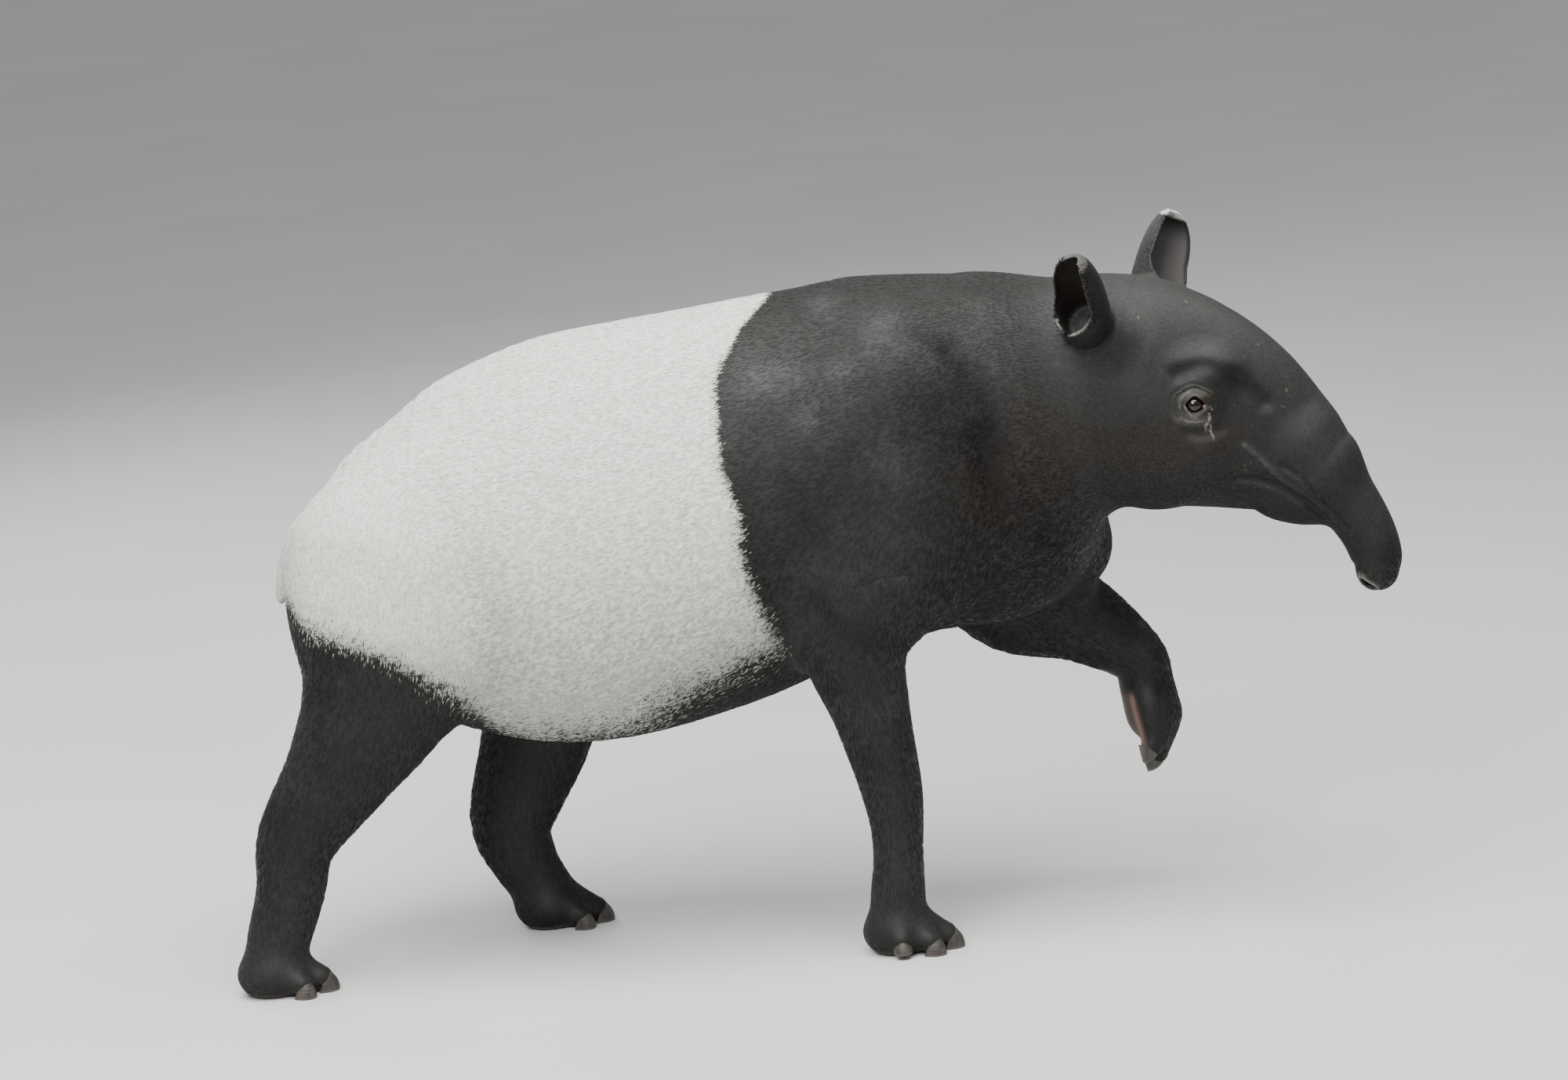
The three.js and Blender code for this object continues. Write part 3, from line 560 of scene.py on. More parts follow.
EARS = {
    "ear_right": Ear(-1, [22, 92, 934], [0.08, 0.85, 1], [-0.52, 1, 0]),
    "ear_left": Ear(1, [62, 71, 934], [0.32, 0.28, 1], [0.9, -0.55, 0]),
}


# Eyes
class Eye(Detail):
    """The lids round an eyeball: s runs forward along the opening, h up it and g out of the head."""

    LID = 3.3
    UNDER = 16  # from the skin down to the ball's centre
    REAR, FRONT = 13.6, 19.5  # from the middle of the opening to its corners
    RISE, DROP = 13.0, 11.0  # of the upper and the lower lid
    FOLDS_ABOVE = [(24.5, 1.2, 1.9), (30.5, 0.7, 2.4)]  # radius, depth, half width
    FOLDS_BELOW = [(23.5, 1.1, 1.8), (30, 0.7, 2.4)]
    TEAR_DUCT = (15.6, 8.2)  # along s and g
    reach = 70

    def __init__(self, left):
        gaze = unit(HEAD.turn([0.34, left, 0.06]))
        middle = HEAD.at([159, left * 66, 795])
        self.centre = landing(middle + 120 * gaze, -gaze)[0] - self.UNDER * gaze
        slit = HEAD.turn([1, 0, -0.14])
        slit = unit(slit - gaze * (slit @ gaze))
        self.axes = np.array([slit, np.cross(slit, gaze) * -left, gaze])
        if self.axes[1][2] < 0:
            self.axes[1] *= -1

    def local(self, p):
        q = (p - self.centre) @ self.axes.T
        return q[:, 0], q[:, 1], q[:, 2]

    def opening(self, s, h):
        """Distance inside the opening between the lids."""
        rear = 1 - np.clip(-s / self.REAR, 0, 1.6) ** 2.1
        front = 1 - np.clip(s / self.FRONT, 0, 1.6) ** 1.35
        lens = np.where(s < 0, rear, front)
        return np.minimum(self.RISE * lens - h, h + self.DROP * lens - 1.6 * ramp(4, 19, s)) * 0.86

    def folded(self, s, h, out, d):
        """The distance with the ring-shaped folds of the lids."""
        ring = np.hypot((s - 1.5) / 1.18, h)
        above = ramp(-3, 6, h)
        for folds, share in ((self.FOLDS_ABOVE, above), (self.FOLDS_BELOW, 1 - above)):
            for radius, depth, half_width in folds:
                wobble = 0.9 * np.sin(np.arctan2(h, s) * 5 + radius)
                d = d + out * share * depth * bell(ring - radius - wobble, half_width)
        return d

    def changed(self, p, d):
        s, h, g = self.local(p)
        ball = np.linalg.norm(p - self.centre, axis=1)
        d = smooth_min(d, ball - (EYE_RADIUS + self.LID), 7)
        out = ramp(-4, 6, g)
        lens = self.opening(s, h)
        rim = bell(lens + 1.6, 1.7)
        d = self.folded(s, h, out, d - out * (0.9 * rim * (0.7 + 0.5 * ramp(-3, 6, h))))
        puff, bag = mound(s, h, (15, 15), (11, 8)), mound(s, h, (2, -25.5), (17, 4.5))
        d = d - out * 2.2 * puff - out * 1.2 * bag
        d = smooth_max(d, np.minimum(lens, g + 2), 0.9)
        along, out_at = self.TEAR_DUCT
        duct = np.sqrt((s - along) ** 2 + (h + 0.9) ** 2 * 1.6 + (g - out_at) ** 2) - 4.6
        return smooth_min(d, duct, 1.2)


EYES = {"eye_right": Eye(-1), "eye_left": Eye(1)}


# The mouth, nostrils and folds
class LaidCrease(Crease):
    """A crease laid on the flesh from a few points (x, height) seen from the side."""

    FROM = 400  # how far aside the points start

    def __init__(self, points, depth, half_width, place, left):
        start = place.at([[x, left * self.FROM, z] for x, z in points])
        super().__init__(landing(start, place.turn([0, -left, 0])), depth, half_width)


# Creases of both sides: points, depth, half width, place
FOLDS = {
    "mouth": (
        [[214, 677], [238, 676], [262, 667], [288, 653], [310, 638], [327, 622], [338, 610]], 9.0, 4.8, HEAD
    ),
    "brow": ([[146, 845], [182, 853], [212, 840], [240, 815], [262, 790]], 4.8, 11, HEAD),
    "lip": (
        [[232, 727], [252, 706], [268, 685], [293, 662], [317, 643], [334, 625], [345, 608]], -2.6, 4.8, HEAD
    ),
    "nose": ([[286, 694], [309, 677], [323, 656], [338, 632], [354, 611], [368, 594]], 4.2, 4.2, HEAD),
    "neck": ([[350, 770], [375, 720], [399, 668], [413, 641]], 4.5, 6, BODY),
    "neck ridge": ([[332, 775], [356, 722], [380, 664], [396, 630]], -2.4, 8, BODY),
    "breast": ([[345, 625], [366, 606], [392, 592]], 4.5, 6, BODY),
    "shoulder hollow": ([[292, 905], [329, 864], [346, 818], [352, 752]], 4, 20, BODY),
    "shoulder edge": ([[60, 900], [28, 820], [30, 730], [62, 650]], 2.5, 30, BODY),
    "thigh edge": ([[-420, 640], [-404, 560], [-424, 480], [-470, 430]], 1.2, 30, BODY),
    "lower chest": ([[287, 532], [348, 562], [395, 574]], 4, 6, BODY),
    "upper chest": ([[306, 618], [330, 624], [358, 624]], 4, 6, BODY),
    "upper elbow": ([[136, 577], [151, 585], [180, 590], [211, 586]], 4.0, 4.5, BODY),
    "lower elbow": ([[120, 516], [139, 518], [167, 517], [198, 514]], 4.0, 4.5, BODY),
    "upright flank": ([[-107, 678], [-115, 632], [-117, 584], [-122, 548]], 1.3, 3.5, BODY),
    "upper flank": ([[-170, 520], [-140, 529], [-111, 533], [-90, 536]], 1.3, 3.5, BODY),
    "lower flank": ([[-150, 509], [-122, 518], [-98, 519]], 1.3, 3.5, BODY),
}
# Those with a crisp bottom: the way across it, and its strength
CRISP = {
    "upper elbow": ((0, 0, 1), 1.0),
    "lower elbow": ((0, 0, 1), 1.0),
    "upright flank": ((1, 0, 0), 0.4),
    "upper flank": ((0, 0, 1), 0.45),
    "lower flank": ((0, 0, 1), 0.35),
    "neck": ((1, 0, 0.5), 0.8),
    "lower chest": ((0.4, 0, 1), 0.7),
    "upper chest": ((0.4, 0, 1), 0.7),
}
LAID = {(name, left): LaidCrease(*fold, left) for left in (-1, 1) for name, fold in FOLDS.items()}
DETAIL = list(LAID.values())
HAIRLINES = [(LAID[name, left], *crisp) for left in (-1, 1) for name, crisp in CRISP.items()]
MOUTHS, BROWS, LIPS = ([LAID[name, -1], LAID[name, 1]] for name in ("mouth", "brow", "lip"))


class Nostril(Detail):
    """A slanting hole at the end of the proboscis, with a raised rim."""

    reach = 40

    def __init__(self, left):
        self.centre = HEAD.at([390, left * 21, 507])
        place = Place(self.centre, HEAD.turn([0.1, -0.62 * left, 0.78]), HEAD.turn([-0.75, 0, 0.65]))
        self.hole = Muscle(self.centre, [19, 6, 11.5], ahead=place.axes[0], up=place.axes[2])

    def changed(self, p, d):
        hole = self.hole.distance(p)
        return smooth_max(d - 1.1 * bell(hole - 3.2, 2.6), -hole, 3)


NOSTRILS = [Nostril(-1), Nostril(1)]


def on_head(p):
    return ramp(380, 480, p[:, 0]) * ramp(480, 560, p[:, 2])


def coat_depth(p):
    """The coat is thinner on the head and the feet than on the body."""
    feet = ramp(140, 60, p[:, 2])
    lifted = ramp(420, 520, p[:, 0]) * ramp(340, 250, p[:, 2])
    thin = np.maximum(on_head(p), np.maximum(feet, lifted))
    return COAT_DEPTH_BODY + (COAT_DEPTH_FACE - COAT_DEPTH_BODY) * thin


SOLE_HEIGHT = 0.2  # of the skin above the floor


@chunked
def skin_field(p):
    """The distance from the skin, which lies under the outline of the coat."""
    d = flesh(p) + coat_depth(p)
    for detail in (*DETAIL, *EARS.values(), *EYES.values(), *NOSTRILS):
        detail.add(p, d)
    return np.maximum(d, SOLE_HEIGHT - p[:, 2])


# The grid that the skin is drawn on: lines that are closer where there is more to show
def lines(stretches):
    """Lines of a grid from (start, step) rows; the last row only ends them."""
    made = []
    for (low, step), (high, _) in zip(stretches[:-1], stretches[1:]):
        count = max(1, round((high - low) / step))
        made.append(low + (high - low) * np.arange(count) / count)
    made.append([stretches[-1][0]])
    return np.concatenate(made)


BLOCK, SMALL_BLOCK = 16, 4  # nodes along a side


def grid(*axes):
    """All combinations of values of three axes."""
    return np.stack(np.meshgrid(*axes, indexing="ij"), -1).reshape(-1, 3)


def sampled(x, y, z, measure):
    """Values at the grid's nodes: blocks that the surface can't reach take the value of their middle."""
    axes = [x, y, z]
    values = np.empty((len(x), len(y), len(z)), np.float32)

    def middles(first, size):
        low = [a[np.minimum(first[:, i], len(a) - 1)] for i, a in enumerate(axes)]
        high = [a[np.minimum(first[:, i] + size, len(a) - 1)] for i, a in enumerate(axes)]
        low, high = np.stack(low, 1), np.stack(high, 1)
        return (low + high) / 2, np.linalg.norm(high - low, axis=1) / 2

    def cells_of(first, size):
        made = (first[:, None] + grid(*[np.arange(size)] * 3)).reshape(-1, 3)
        inside = (made < [len(a) for a in axes]).all(1)
        return made, inside

    size = BLOCK
    first = grid(*[np.arange(0, len(a), size) for a in axes])
    while True:
        middle, half = middles(first, size)
        value = measure(middle)
        far = np.abs(value) > 1.35 * half + 3
        if size > SMALL_BLOCK:
            for (i, j, k), v in zip(first[far], value[far]):
                values[i : i + size, j : j + size, k : k + size] = v
        else:
            made, inside = cells_of(first[far], size)
            made, v = made[inside], np.repeat(value[far], size ** 3)[inside]
            values[made[:, 0], made[:, 1], made[:, 2]] = v
            made, inside = cells_of(first[~far], size)
            made = made[inside]
            p = np.stack([a[made[:, i]] for i, a in enumerate(axes)], 1)
            values[made[:, 0], made[:, 1], made[:, 2]] = measure(p)
            return values
        first = (first[~far][:, None] + grid(*[[0, size // 2]] * 3)).reshape(-1, 3)
        first = first[(first < [len(a) for a in axes]).all(1)]
        size //= 2


def part(axis, *stretch):
    """An index of a stretch of one axis and all of the others."""
    picked = [slice(None)] * 3
    picked[axis] = slice(*stretch)
    return tuple(picked)


def between(values, axis):
    """Twice as many lines along an axis, the new ones half way between the old."""
    shape = list(values.shape)
    shape[axis] = 2 * shape[axis] - 1
    made = np.empty(shape, np.float32)
    made[part(axis, 0, None, 2)] = values
    made[part(axis, 1, None, 2)] = (values[part(axis, 0, -1)] + values[part(axis, 1, None)]) / 2
    return made


def net(values, axes, coarse_until):
    """Points and faces of the surface. Cells before coarse_until along X are joined two by two in Y and Z."""
    inside = values < 0
    cells = [n - 1 for n in values.shape]
    keys, spots = [], []
    for axis in range(3):
        crossed = inside[part(axis, 1, None)] != inside[part(axis, 0, -1)]
        at = np.stack(np.nonzero(crossed), 1)
        after = at.copy()
        after[:, axis] += 1
        a = values[at[:, 0], at[:, 1], at[:, 2]]
        b = values[after[:, 0], after[:, 1], after[:, 2]]
        spot = np.stack([axes[i][at[:, i]] for i in range(3)], 1)
        far = axes[axis][after[:, axis]]
        spot[:, axis] += (far - spot[:, axis]) * (a / (a - b))
        u, v = (axis + 1) % 3, (axis + 2) % 3
        ring = []
        for du, dv in ((0, 0), (1, 0), (1, 1), (0, 1)):
            cell = at.copy()
            cell[:, u] -= du
            cell[:, v] -= dv
            coarse = cell[:, 0] < coarse_until
            cell[coarse, 1] &= ~1
            cell[coarse, 2] &= ~1
            ring.append((cell[:, 0] * cells[1] + cell[:, 1]) * cells[2] + cell[:, 2])
        ring = np.stack(ring, 1)
        ring[a > 0] = ring[a > 0][:, ::-1]
        keys.append(ring.ravel())
        spots.append(np.repeat(spot, 4, axis=0))
    _, index = np.unique(np.concatenate(keys), return_inverse=True)
    spots = np.concatenate(spots)
    count = np.bincount(index)
    points = np.stack([np.bincount(index, spots[:, i]) / count for i in range(3)], 1)
    quads = index.reshape(-1, 4)
    alike = [quads[:, i] == quads[:, (i + 1) % 4] for i in range(4)]
    same = np.sum(alike, axis=0)
    crossing = (quads[:, 0] != quads[:, 2]) & (quads[:, 1] != quads[:, 3])
    whole = quads[(same == 0) & crossing]
    three = [np.delete(quads[(same == 1) & crossing & alike[i]], i, axis=1) for i in range(4)]
    return points, whole, np.concatenate(three)


def edges(*groups):
    """The two points of each side of each face."""
    sides = []
    for faces in groups:
        corners = faces.shape[1]
        sides += [faces[:, [i, (i + 1) % corners]] for i in range(corners)]
    return np.vstack(sides)


def main_piece(points, quads, triangles):
    """Only the largest connected part of a mesh."""
    pairs = edges(quads, triangles)
    label = np.arange(len(points))
    while True:
        low = np.minimum(label[pairs[:, 0]], label[pairs[:, 1]])
        fresh = label.copy()
        np.minimum.at(fresh, pairs[:, 0], low)
        np.minimum.at(fresh, pairs[:, 1], low)
        fresh = fresh[fresh]
        fresh = fresh[fresh]
        if (fresh == label).all():
            break
        label = fresh
    keep = label == np.bincount(label).argmax()
    number = np.cumsum(keep) - 1
    return points[keep], number[quads[keep[quads[:, 0]]]], number[triangles[keep[triangles[:, 0]]]]


def corner_normals(points, quads, triangles):
    n = np.zeros_like(points)
    for faces in (quads, triangles):
        if not len(faces):
            continue
        a, b = points[faces[:, 0]], points[faces[:, 2]]
        c, d = points[faces[:, 1]], points[faces[:, -1]]
        way = np.cross(b - a, d - c) if faces.shape[1] == 4 else np.cross(c - a, b - a)
        for i in range(faces.shape[1]):
            for k in range(3):
                n[:, k] += np.bincount(faces[:, i], way[:, k], len(points))
    return unit(n)


def relaxed(points, quads, triangles):
    """Evens a mesh out, twice, and moves it back onto the skin."""
    here, there = edges(quads, triangles).T
    count = np.bincount(here, minlength=len(points))
    for _ in range(2):
        around = np.stack([np.bincount(here, points[there, k], len(points)) for k in range(3)], 1)
        points = points + 0.5 * (around / count[:, None] - points)
        n = corner_normals(points, quads, triangles)
        value = skin_field(points)
        slope = (skin_field(points + n * PROBE) - value) / PROBE
        move = np.clip(-value / np.maximum(slope, 0.35), -1.5, 1.5)
        points = points + n * move[:, None]
    return points


def drawn_skin():
    """The whole skin as one mesh, coarse on the body and fine on the head."""
    c, f, eye, ear, foot = COARSE, FINE, EYE_GRID, EAR_GRID, FOOT_GRID
    x_body = lines([(-900, c), (-340, c * 1.4), (60, c), (222, c * 0.8), (330, c * 0.7), (420, c)])
    x_head = lines([(420, c * 0.55), (470, f), (500, ear), (618, eye), (705, f), (930, f)])
    y = lines([
        (-274, c), (-244, f), (-172, eye), (-110, f), (8, eye), (70, f), (128, 4.2), (262, c), (276, c),
    ])
    z = lines([
        (-8, foot), (110, c), (170, foot), (330, c), (470, f), (770, eye), (822, f), (900, ear), (1062, c),
        (1074, c),
    ])
    y = y if len(y) % 2 else np.append(y, y[-1] + c)
    z = z if len(z) % 2 else np.append(z, z[-1] + c)
    body = sampled(x_body[:-1], y[::2], z[::2], skin_field)
    head = sampled(x_head, y, z, skin_field)
    values = np.concatenate([between(between(body, 1), 2), head])
    x = np.concatenate([x_body[:-1], x_head])
    points, quads, triangles = net(values, [x, y, z], len(x_body) - 2)
    points, quads, triangles = main_piece(points, quads, triangles)
    return relaxed(points, quads, triangles), quads, triangles


# Markings. The pale saddle's front border is given as (height, x), its lower border as (x, height).
SADDLE_FRONT = [
    (479, 3), (508, -11), (575, -31), (648, -35), (706, -42), (764, -55), (820, -67), (874, -64),
    (915, -54), (954, -30), (990, 19),
]
SADDLE_LOW = [
    (-800, 634), (-760, 613), (-709, 580), (-658, 563), (-612, 537), (-556, 508), (-515, 475), (-475, 438),
    (-442, 386), (-386, 364), (-326, 360), (-248, 380), (-185, 405), (-122, 436), (-47, 471), (20, 498),
]


def saddle_edge(p):
    """How far a point lies inside the saddle, as a multiple of the border's own width there."""
    x, y, z = p.T
    sway = 5 * np.sin(z / 23 + y / 60) + 4 * np.sin(x / 31 - y / 45)
    front = np.interp(z, *zip(*SADDLE_FRONT)) - x
    low = (z - np.interp(x, *zip(*SADDLE_LOW))) * 0.9
    front_width = np.interp(z, (500, 620, 700, 900, 960), (20, 14, 10, 7, 5))
    low_width = np.interp(x, (-760, -560, -440), (16, 26, 36))
    edge = smooth_min((front + 0.7 * sway) / front_width, (low + sway) / low_width, 1.0)
    return np.clip(np.maximum(edge, (6 - tail.distance(p)) / 2), -4, 4)


def bump_at(p, middle, halves):
    return np.exp(-(((p - middle) / halves) ** 2).sum(1))


def folded_over(p):
    """The points of the right side laid over those of the left."""
    return np.stack([p[:, 0], np.abs(p[:, 1]), p[:, 2]], 1)


def patches(p, spots):
    """Soft round patches, alike on both sides, from (x, aside, height, half width) rows."""
    return sum(bump_at(folded_over(p), spot[:3], spot[3]) for spot in spots)


def fold_depth(p):
    """How deep the neck's, elbow's and smaller creases are, from -1 on a ridge to 1 in a furrow."""
    d = np.zeros(len(p))
    for crease in SOLID_CREASES[:2] + DETAIL:
        crease.add(p, d)
    return np.clip(d / 5, -1, 1)


# What the hair lies along
LIMBS = {
    "trunk": trunk, "neck": neck, "skull": skull, "proboscis": proboscis, "hind_right": hind_right,
    "hind_left": hind_left, "fore_right": fore_right, "fore_left": fore_left, "tail": tail,
}


def hairlines(p):
    """The way across the nearest crisp fold, below zero on one side of it, and how strong the fold is."""
    across, strength = np.full(len(p), 20.0), np.zeros(len(p))
    for crease, side, depth in HAIRLINES:
        near = close_by(p, crease.centre, crease.reach + 25)
        if not len(near):
            continue
        spot, t = crease.spot(p[near])
        away = p[near] - spot
        gap = np.linalg.norm(away, axis=1)
        closer = gap < np.abs(across[near])
        near, gap, t = near[closer], gap[closer], t[closer]
        across[near] = np.where(away[closer] @ np.array(side, float) < 0, -gap, gap)
        strength[near] = depth * ramp(17, 9, gap) * ramp(0, 0.25, t) * ramp(1, 0.75, t)
    return across, strength


# Dusty patches on the shoulders, and places that the light doesn't reach, between the fore legs and under
# the throat: (x, aside, height, half width)
DUST = [
    (-13, 154, 885, 26), (22, 155, 885, 24), (57, 154, 891, 26), (190, 122, 947, 34), (72, 189, 835, 20),
    (125, 166, 896, 16), (100, 67, 981, 22),
]
SHADOWS = [(270, 155, 540, 42), (350, 118, 555, 55), (430, 80, 590, 52), (300, 60, 520, 60)]

# Painted glints on the wet inner corner of an eye: forward and up from the eye's middle, and size
PAINTED_TEAR_GLINTS = [(15.5, -4.5, 1.7), (26, -4.5, 2.0), (22.5, -11, 1.8)]
NEAR_EAR = "ear_right"  # nearer to the photo's camera
LOCAL_MARKS = ("tone", "frost", "inner", "bare", "pink", "pale", "olive", "sole", "shade")  # zero elsewhere


def marks(p, n):
    """What the coat's finish needs to know at each point of the skin; n are the skin's normals there."""
    made = {name: np.zeros(len(p)) for name in LOCAL_MARKS}
    # The fold depth gives painted shade in furrows and a painted highlight on ridges; the hairlines give
    # painted shade along crisp folds and a painted highlight on their lips.
    made["saddle"], made["fold"] = saddle_edge(p), fold_depth(p)
    made["line"], made["line_on"] = hairlines(p)
    body_marks(p, n, made)
    ear_marks(p, made)
    for eye in EYES.values():
        eye_marks(p, eye, made)
    hole_marks(p, made)
    foot_marks(p, made)
    made["shade"] = np.clip(made["shade"], 0, 1)
    return made


def raise_mark(made, name, values):
    made[name] = np.maximum(made[name], values)


def body_marks(p, n, made):
    """Painted light on parts facing up and painted shade on parts facing down, the dusty parts and the
    painted highlight of the lips, the brown parts, the painted shade of the jaw, brows and hollows, where the
    hair hangs, and the wrinkles of the proboscis.
    """
    q = folded_over(HEAD.local(p))
    z = p[:, 2]
    ahead, aside, up = q.T
    head = on_head(p)
    made["head"] = head
    # Painted light: paler where the skin faces up, more so on the head.
    made["top"] = ramp(0.2 - 0.15 * head, 0.95 - 0.15 * head, n[:, 2])
    # Painted shade: darker where the skin faces down.
    made["under"] = ramp(0.35, -0.6, n[:, 2])
    made["leg"] = np.maximum(
        ramp(560, 400, z) * ramp(-60, -20, trunk.distance(p)),
        ramp(120, 40, proboscis.distance(p)) * ramp(300, 360, ahead),
    )
    made["dust_and_lip_highlight"] = np.clip(patches(p, DUST), 0, 1)
    # Painted highlight along the ridge of each upper lip, kept in the same mark as the dust.
    for lip in LIPS:
        raise_mark(made, "dust_and_lip_highlight", 0.85 * bell(lip.gap(p), 6.0))
    neck_halves = (90, 130, 110)
    brown = 0.9 * bump_at(p, (385, -130, 690), neck_halves) + 0.8 * bump_at(p, (385, 130, 690), neck_halves)
    brown += 0.55 * bump_at(q, (90, 90, 720), (90, 70, 60)) + 0.25 * bump_at(q, (196, 70, 742), (60, 60, 40))
    made["brown"] = np.clip(brown, 0, 1)
    jaw = mound(ahead, up, (282, 622), (70, 34)) * ramp(-8, 20, aside)
    raise_mark(made, "shade", np.maximum(jaw, patches(p, SHADOWS)))
    for brow in BROWS:
        raise_mark(made, "shade", 0.75 * bell(brow.gap(p), 15))
    made["wrinkle"] = ramp(330, 385, ahead) * ramp(640, 560, up)
    made["snout"] = ahead * 0.45 - up * 0.9


def ear_marks(p, made):
    """The pale rims and tips, painted shade inside the near cup and painted light inside the far one, and
    painted shade over the near ear.
    """
    for name, ear in EARS.items():
        seen = name == NEAR_EAR
        v, share, gap, within = ear.leaf(p)
        on = gap < 6
        tip = ramp(0.93, 0.97, v) * (0.12 if seen else 1)
        low = ramp(0.5, 0.36, v) * ramp(0.2, 0.3, v)
        rim = ramp(0.965, 1.0, share) * (0.03 + (0.38 * low if seen else 0))
        raise_mark(made, "frost", on * np.maximum(tip, rim * ramp(0.2, 0.3, v)))
        inside = on * within * ramp(1.0, 0.85, share) * ramp(0.95, 0.7, v)
        # Painted shade inside the near ear's cup (above zero) and painted light inside the far ear's cup
        # (below zero).
        made["inner"] = np.where(inside > 0, inside * (1 if seen else -0.9), made["inner"])
        if seen:
            raise_mark(made, "shade", 0.75 * on * ramp(0.05, 0.3, v))


def eye_marks(p, eye, made):
    """The bare rims of the lids, the duct, the tear's streak with its painted sheen and glints, the paler
    places, and the painted shade of the inner corner round an eye.
    """
    s, h, g = eye.local(p)
    radius = np.hypot(s, h)
    near = (radius < 40) & (g > -6)
    lens = eye.opening(s, h)
    raise_mark(made, "bare", near * ramp(-2.6, -0.8, lens))
    along, out = eye.TEAR_DUCT
    duct = np.sqrt((s - along) ** 2 + h * h + (g - out) ** 2)
    raise_mark(made, "pink", near * ramp(6.8, 4.8, duct))

    lower = ramp(-6.6, -4.4, lens) * ramp(-1.6, -2.8, lens) * ramp(3, -3, h)
    rear = bell(np.hypot(s / 1.05, h) - 21, 2.2) * ramp(0, -12, s)
    pouch = mound(s, h, (-2, -21), (21, 9))
    raise_mark(made, "pale", near * np.maximum.reduce([0.42 * lower, 0.18 * rear, 0.28 * pouch]))
    # Painted sheen of the tear's streak and painted glints above it.
    raise_mark(made, "pale", (radius < 66) * (g > -30) * 0.95 * painted_tear_sheen(s, h))
    raise_mark(made, "olive", near * mound(s, h, (14, 17), (13, 10)))

    share = np.clip((s - 11) / 15, 0, 1)
    corner = ramp(5.2, 3.2, np.hypot(s - 12 - 15 * share, h + 3 + 8 * share))
    raise_mark(made, "shade", near * corner)


def painted_tear_sheen(s, h):
    """A wet streak that runs down from the inner corner of an eye and forks, painted pale for its sheen, with
    painted glints above it.
    """
    waver = 0.9 * np.sin(h / 2.6)
    streak = bell(s - 24 - 0.22 * (h + 14) + waver, 1.7) * ramp(-11, -15, h) * ramp(-42, -30, h)
    fork = bell(s - 25 + 0.3 * (h + 26) - waver, 1.2) * ramp(-24, -30, h) * ramp(-52, -44, h)
    glints = sum(ramp(size, size * 0.4, np.hypot(s - a, h - b)) for a, b, size in PAINTED_TEAR_GLINTS)
    return np.clip(np.maximum(0.8 * streak, 0.7 * fork) + glints, 0, 1)


def hole_marks(p, made):
    """Bare nostrils with a paler ring, and bare lips."""
    for nostril in NOSTRILS:
        hole = nostril.hole.distance(p)
        raise_mark(made, "bare", ramp(3.2, 0.8, hole))
        raise_mark(made, "pale", 0.5 * ramp(7, 4.2, hole) * ramp(1.6, 3.4, hole))
    for mouth in MOUTHS:
        raise_mark(made, "bare", 0.8 * ramp(5.4, 2.0, mouth.gap(p)))


def foot_marks(p, made):
    """Bare soles, with a pink edge on the lifted foot."""
    for place, _, _ in FEET.values():
        u = place.local(p)
        foot = (np.linalg.norm(u, axis=1) < FOOT_REACH) * ramp(-48, -30, u[:, 0])
        raise_mark(made, "sole", ramp(10, 5, u[:, 2]) * foot)
        raise_mark(made, "pink", 0.6 * foot * bell(u[:, 2] - 8, 5) * (p[:, 2] > 60))


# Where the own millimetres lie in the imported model
def centre_of(node):
    low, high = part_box(node)
    return (np.array(low) + np.array(high)) / 2


SHIFT = centre_of("eye_right") - MM * EYES["eye_right"].centre


def placed(p):
    return np.asarray(p, float) * MM + SHIFT


def mesh_object(name, points, faces, attributes, normals=None, uv=None):
    """A mesh from points in own millimetres and arrays of faces of like size."""
    mesh = bpy.data.meshes.new(name)
    faces = [np.asarray(f) for f in faces if len(f)]
    corners = np.concatenate([f.ravel() for f in faces]).astype(np.int32)
    sizes = np.concatenate([np.full(len(f), f.shape[1]) for f in faces])
    starts = np.concatenate([[0], np.cumsum(sizes)[:-1]]).astype(np.int32)
    mesh.vertices.add(len(points))
    mesh.vertices.foreach_set("co", placed(points).astype(np.float32).ravel())
    mesh.loops.add(len(corners))
    mesh.loops.foreach_set("vertex_index", corners)
    mesh.polygons.add(len(sizes))
    mesh.polygons.foreach_set("loop_start", starts)
    mesh.update(calc_edges=True)
    mesh.polygons.foreach_set("use_smooth", np.full(len(sizes), True))
    for key, values in attributes.items():
        layer = mesh.attributes.new(key, "FLOAT", "POINT")
        layer.data.foreach_set("value", np.asarray(values, np.float32))
    if uv is not None:
        layer = mesh.uv_layers.new(name="OFBake")
        layer.data.foreach_set("uv", uv[corners].astype(np.float32).ravel())
    if normals is not None:
        mesh.normals_split_custom_set_from_vertices(normals.astype(np.float32).tolist())
    made = bpy.data.objects.new(name, mesh)
    bpy.context.scene.collection.objects.link(made)
    return made


# Tufts of the coat
OWNERS = [*LIMBS, *EARS]
EVERYWHERE = (-np.inf, np.inf)


